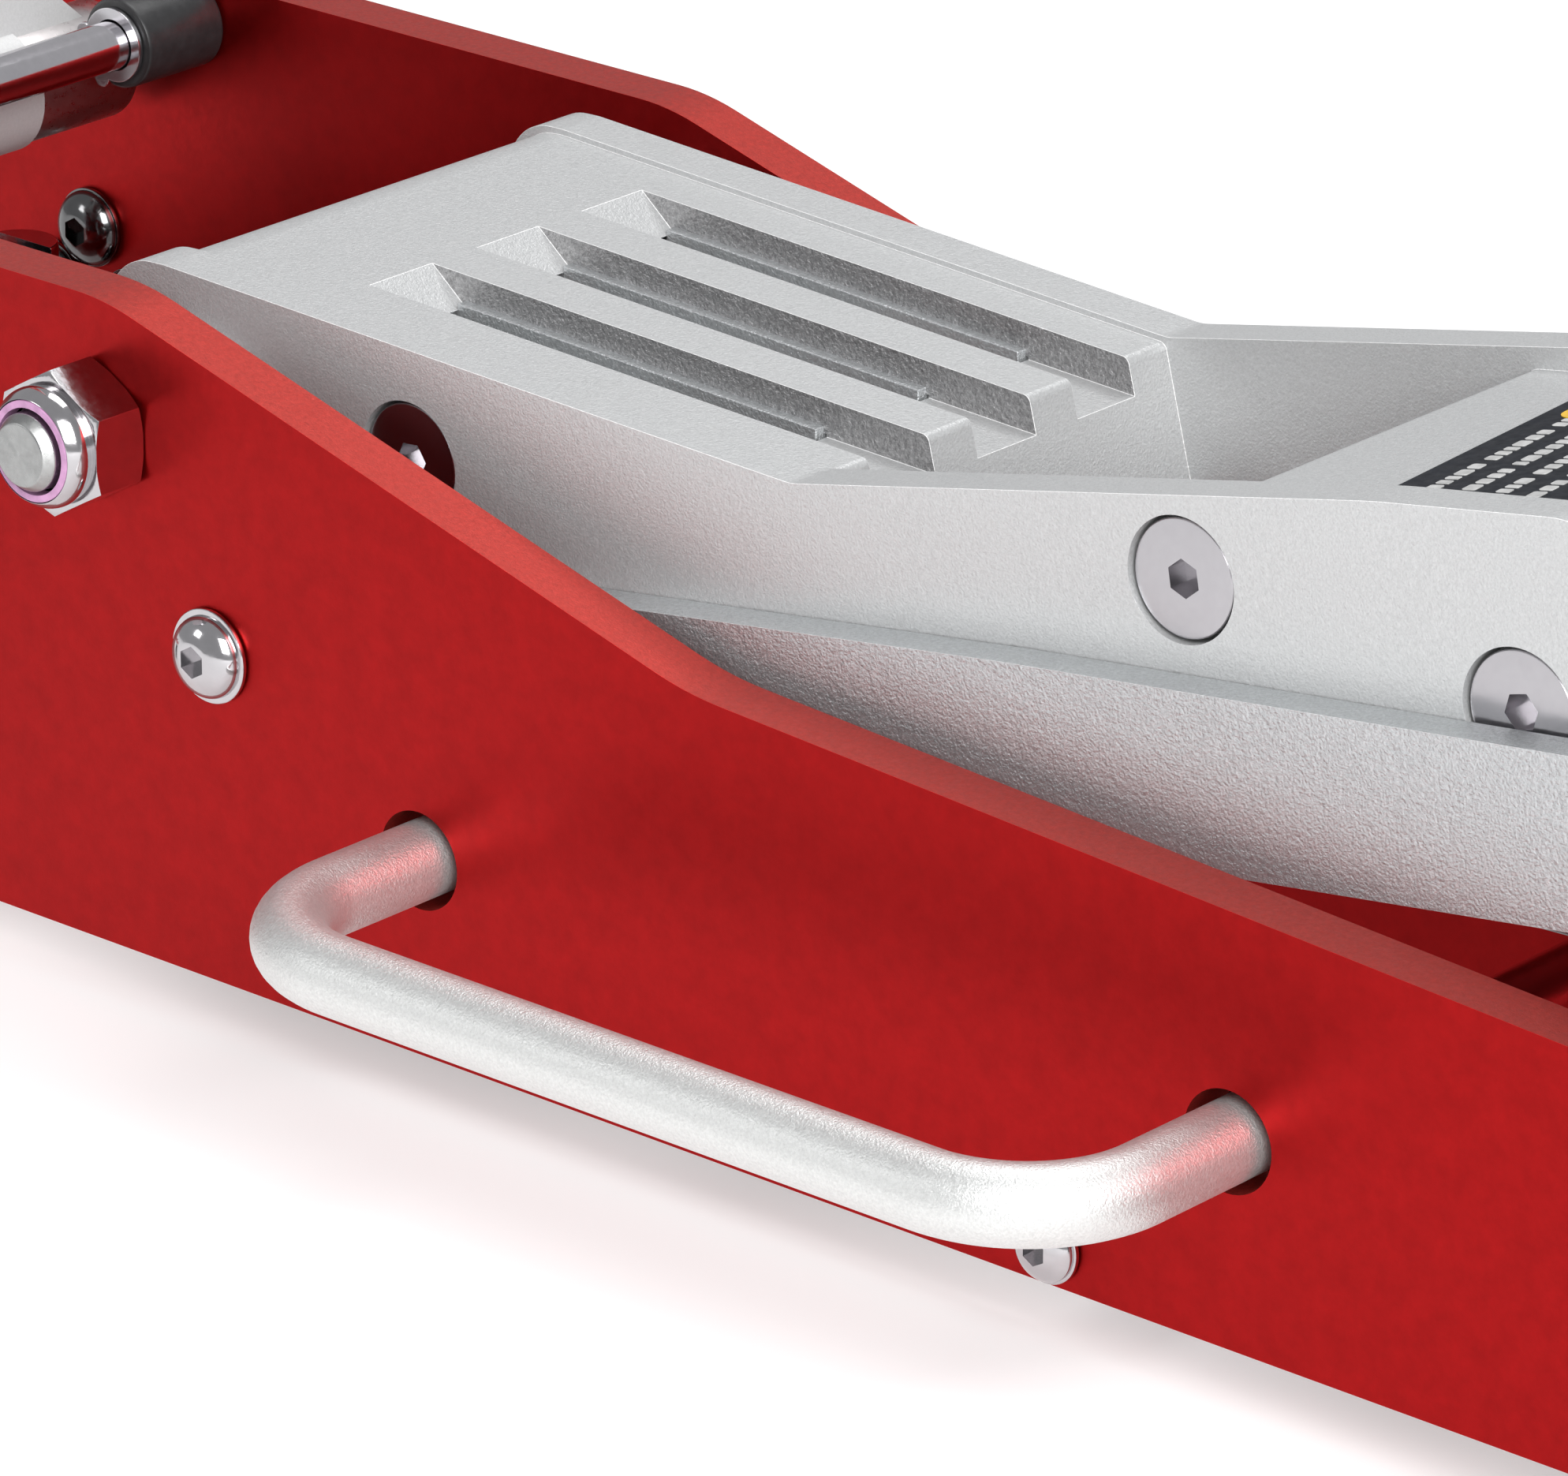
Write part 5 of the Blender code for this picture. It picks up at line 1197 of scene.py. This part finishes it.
def release_valve():
    stem = [(0, 0.088), (0.009, 0.088), (0.009, 0.074), (0.006, 0.074), (0.006, 0.044), (0, 0.044)]
    stem = combine(turned(eased(stem, 0.0007)), cut=[at(block(0.03, 0.0032, 0.008), (0, 0, 0.087))])
    valve = softened(stem, 0.0003, 2, 40)
    piece("valve_stem", valve, BRIGHT, "valve", "bright_steel", "release_valve", position=(*VALVE, 0))


# ---- Studio ----
def pale_floor():
    work = bmesh.new()
    bmesh.ops.create_grid(work, x_segments=8, y_segments=8, size=6)
    floor = new_object("floor", finished(work, "floor"))
    graph = Graph("floor", (0.6, 0.6, 0.6), 0.9, 0.0)
    graph.tint(graph.noise(3, 2), ((0.595, 0.595, 0.595), (0.605, 0.605, 0.605)))
    graph.set("Emission Color", (1, 1, 1, 1))
    graph.set("Emission Strength", 0.42)
    floor.data.materials.append(graph.material)


def white_surround():
    """A soft light from all around, and plain white where the camera looks past the object."""
    world = bpy.data.worlds.new("studio")
    world.use_nodes = True
    nodes, links = world.node_tree.nodes, world.node_tree.links
    surround = nodes["Background"]
    surround.inputs["Color"].default_value = (0.97, 0.98, 1.0, 1)
    surround.inputs["Strength"].default_value = 0.42
    backdrop = nodes.new("ShaderNodeBackground")
    backdrop.inputs["Color"].default_value = (1, 1, 1, 1)
    backdrop.inputs["Strength"].default_value = 1.0
    seen = nodes.new("ShaderNodeLightPath")
    mix = nodes.new("ShaderNodeMixShader")
    links.new(seen.outputs["Is Camera Ray"], mix.inputs["Fac"])
    links.new(surround.outputs["Background"], mix.inputs[1])
    links.new(backdrop.outputs["Background"], mix.inputs[2])
    links.new(mix.outputs["Shader"], nodes["World Output"].inputs["Surface"])
    bpy.context.scene.world = world


def lamps():
    for name, position, size, power in (
        ("overhead", (-0.3, 0.9, 2.4), 1.3, 24),
        ("front", (2.2, -1.5, 1.8), 2.0, 122),
        ("left", (-1.6, -2.2, 1.4), 0.7, 9),
    ):
        lamp = bpy.data.lights.new(name, "AREA")
        lamp.shape = "SQUARE"
        lamp.size = size
        lamp.energy = power
        obj = new_object(name, lamp)
        obj.location = position
        obj.rotation_euler = (Vector((0, 0, 0.1)) - Vector(position)).to_track_quat("-Z", "Y").to_euler()


def camera():
    data = bpy.data.cameras.new("camera")
    data.sensor_fit = "HORIZONTAL"
    data.sensor_width = 36
    data.lens = 214.83
    obj = new_object("camera", data)
    obj.location = ORIGIN + Vector((1.2784, -1.327, 0.7471))
    obj.rotation_euler = (math.radians(90 - 21.599), 0, math.radians(41.498))
    bpy.context.scene.camera = obj


for name, side in SIDES:
    side_plate(name, side)
    carry_handle(name, side)
    caster_bracket(name, side)
    caster(name, side)
    front_wheel(name, side)
arm_shaft()
rod_anchors()
tie_bar()
stop_rod()
front_axle()
pump_block()
ram_cylinder()
arm_shell()
deck_ribs()
arm_frame()
arm_fasteners()
sticker()
saddle_bracket()
saddle()
control_rods()
ram_rod()
handle_yoke()
yoke_hub()
clamp_knob()
pump_roller()
yoke_pin()
handle()
plunger()
pump_spring()
release_valve()
pale_floor()
white_surround()
lamps()
camera()
bpy.context.scene.view_settings.view_transform = "Standard"
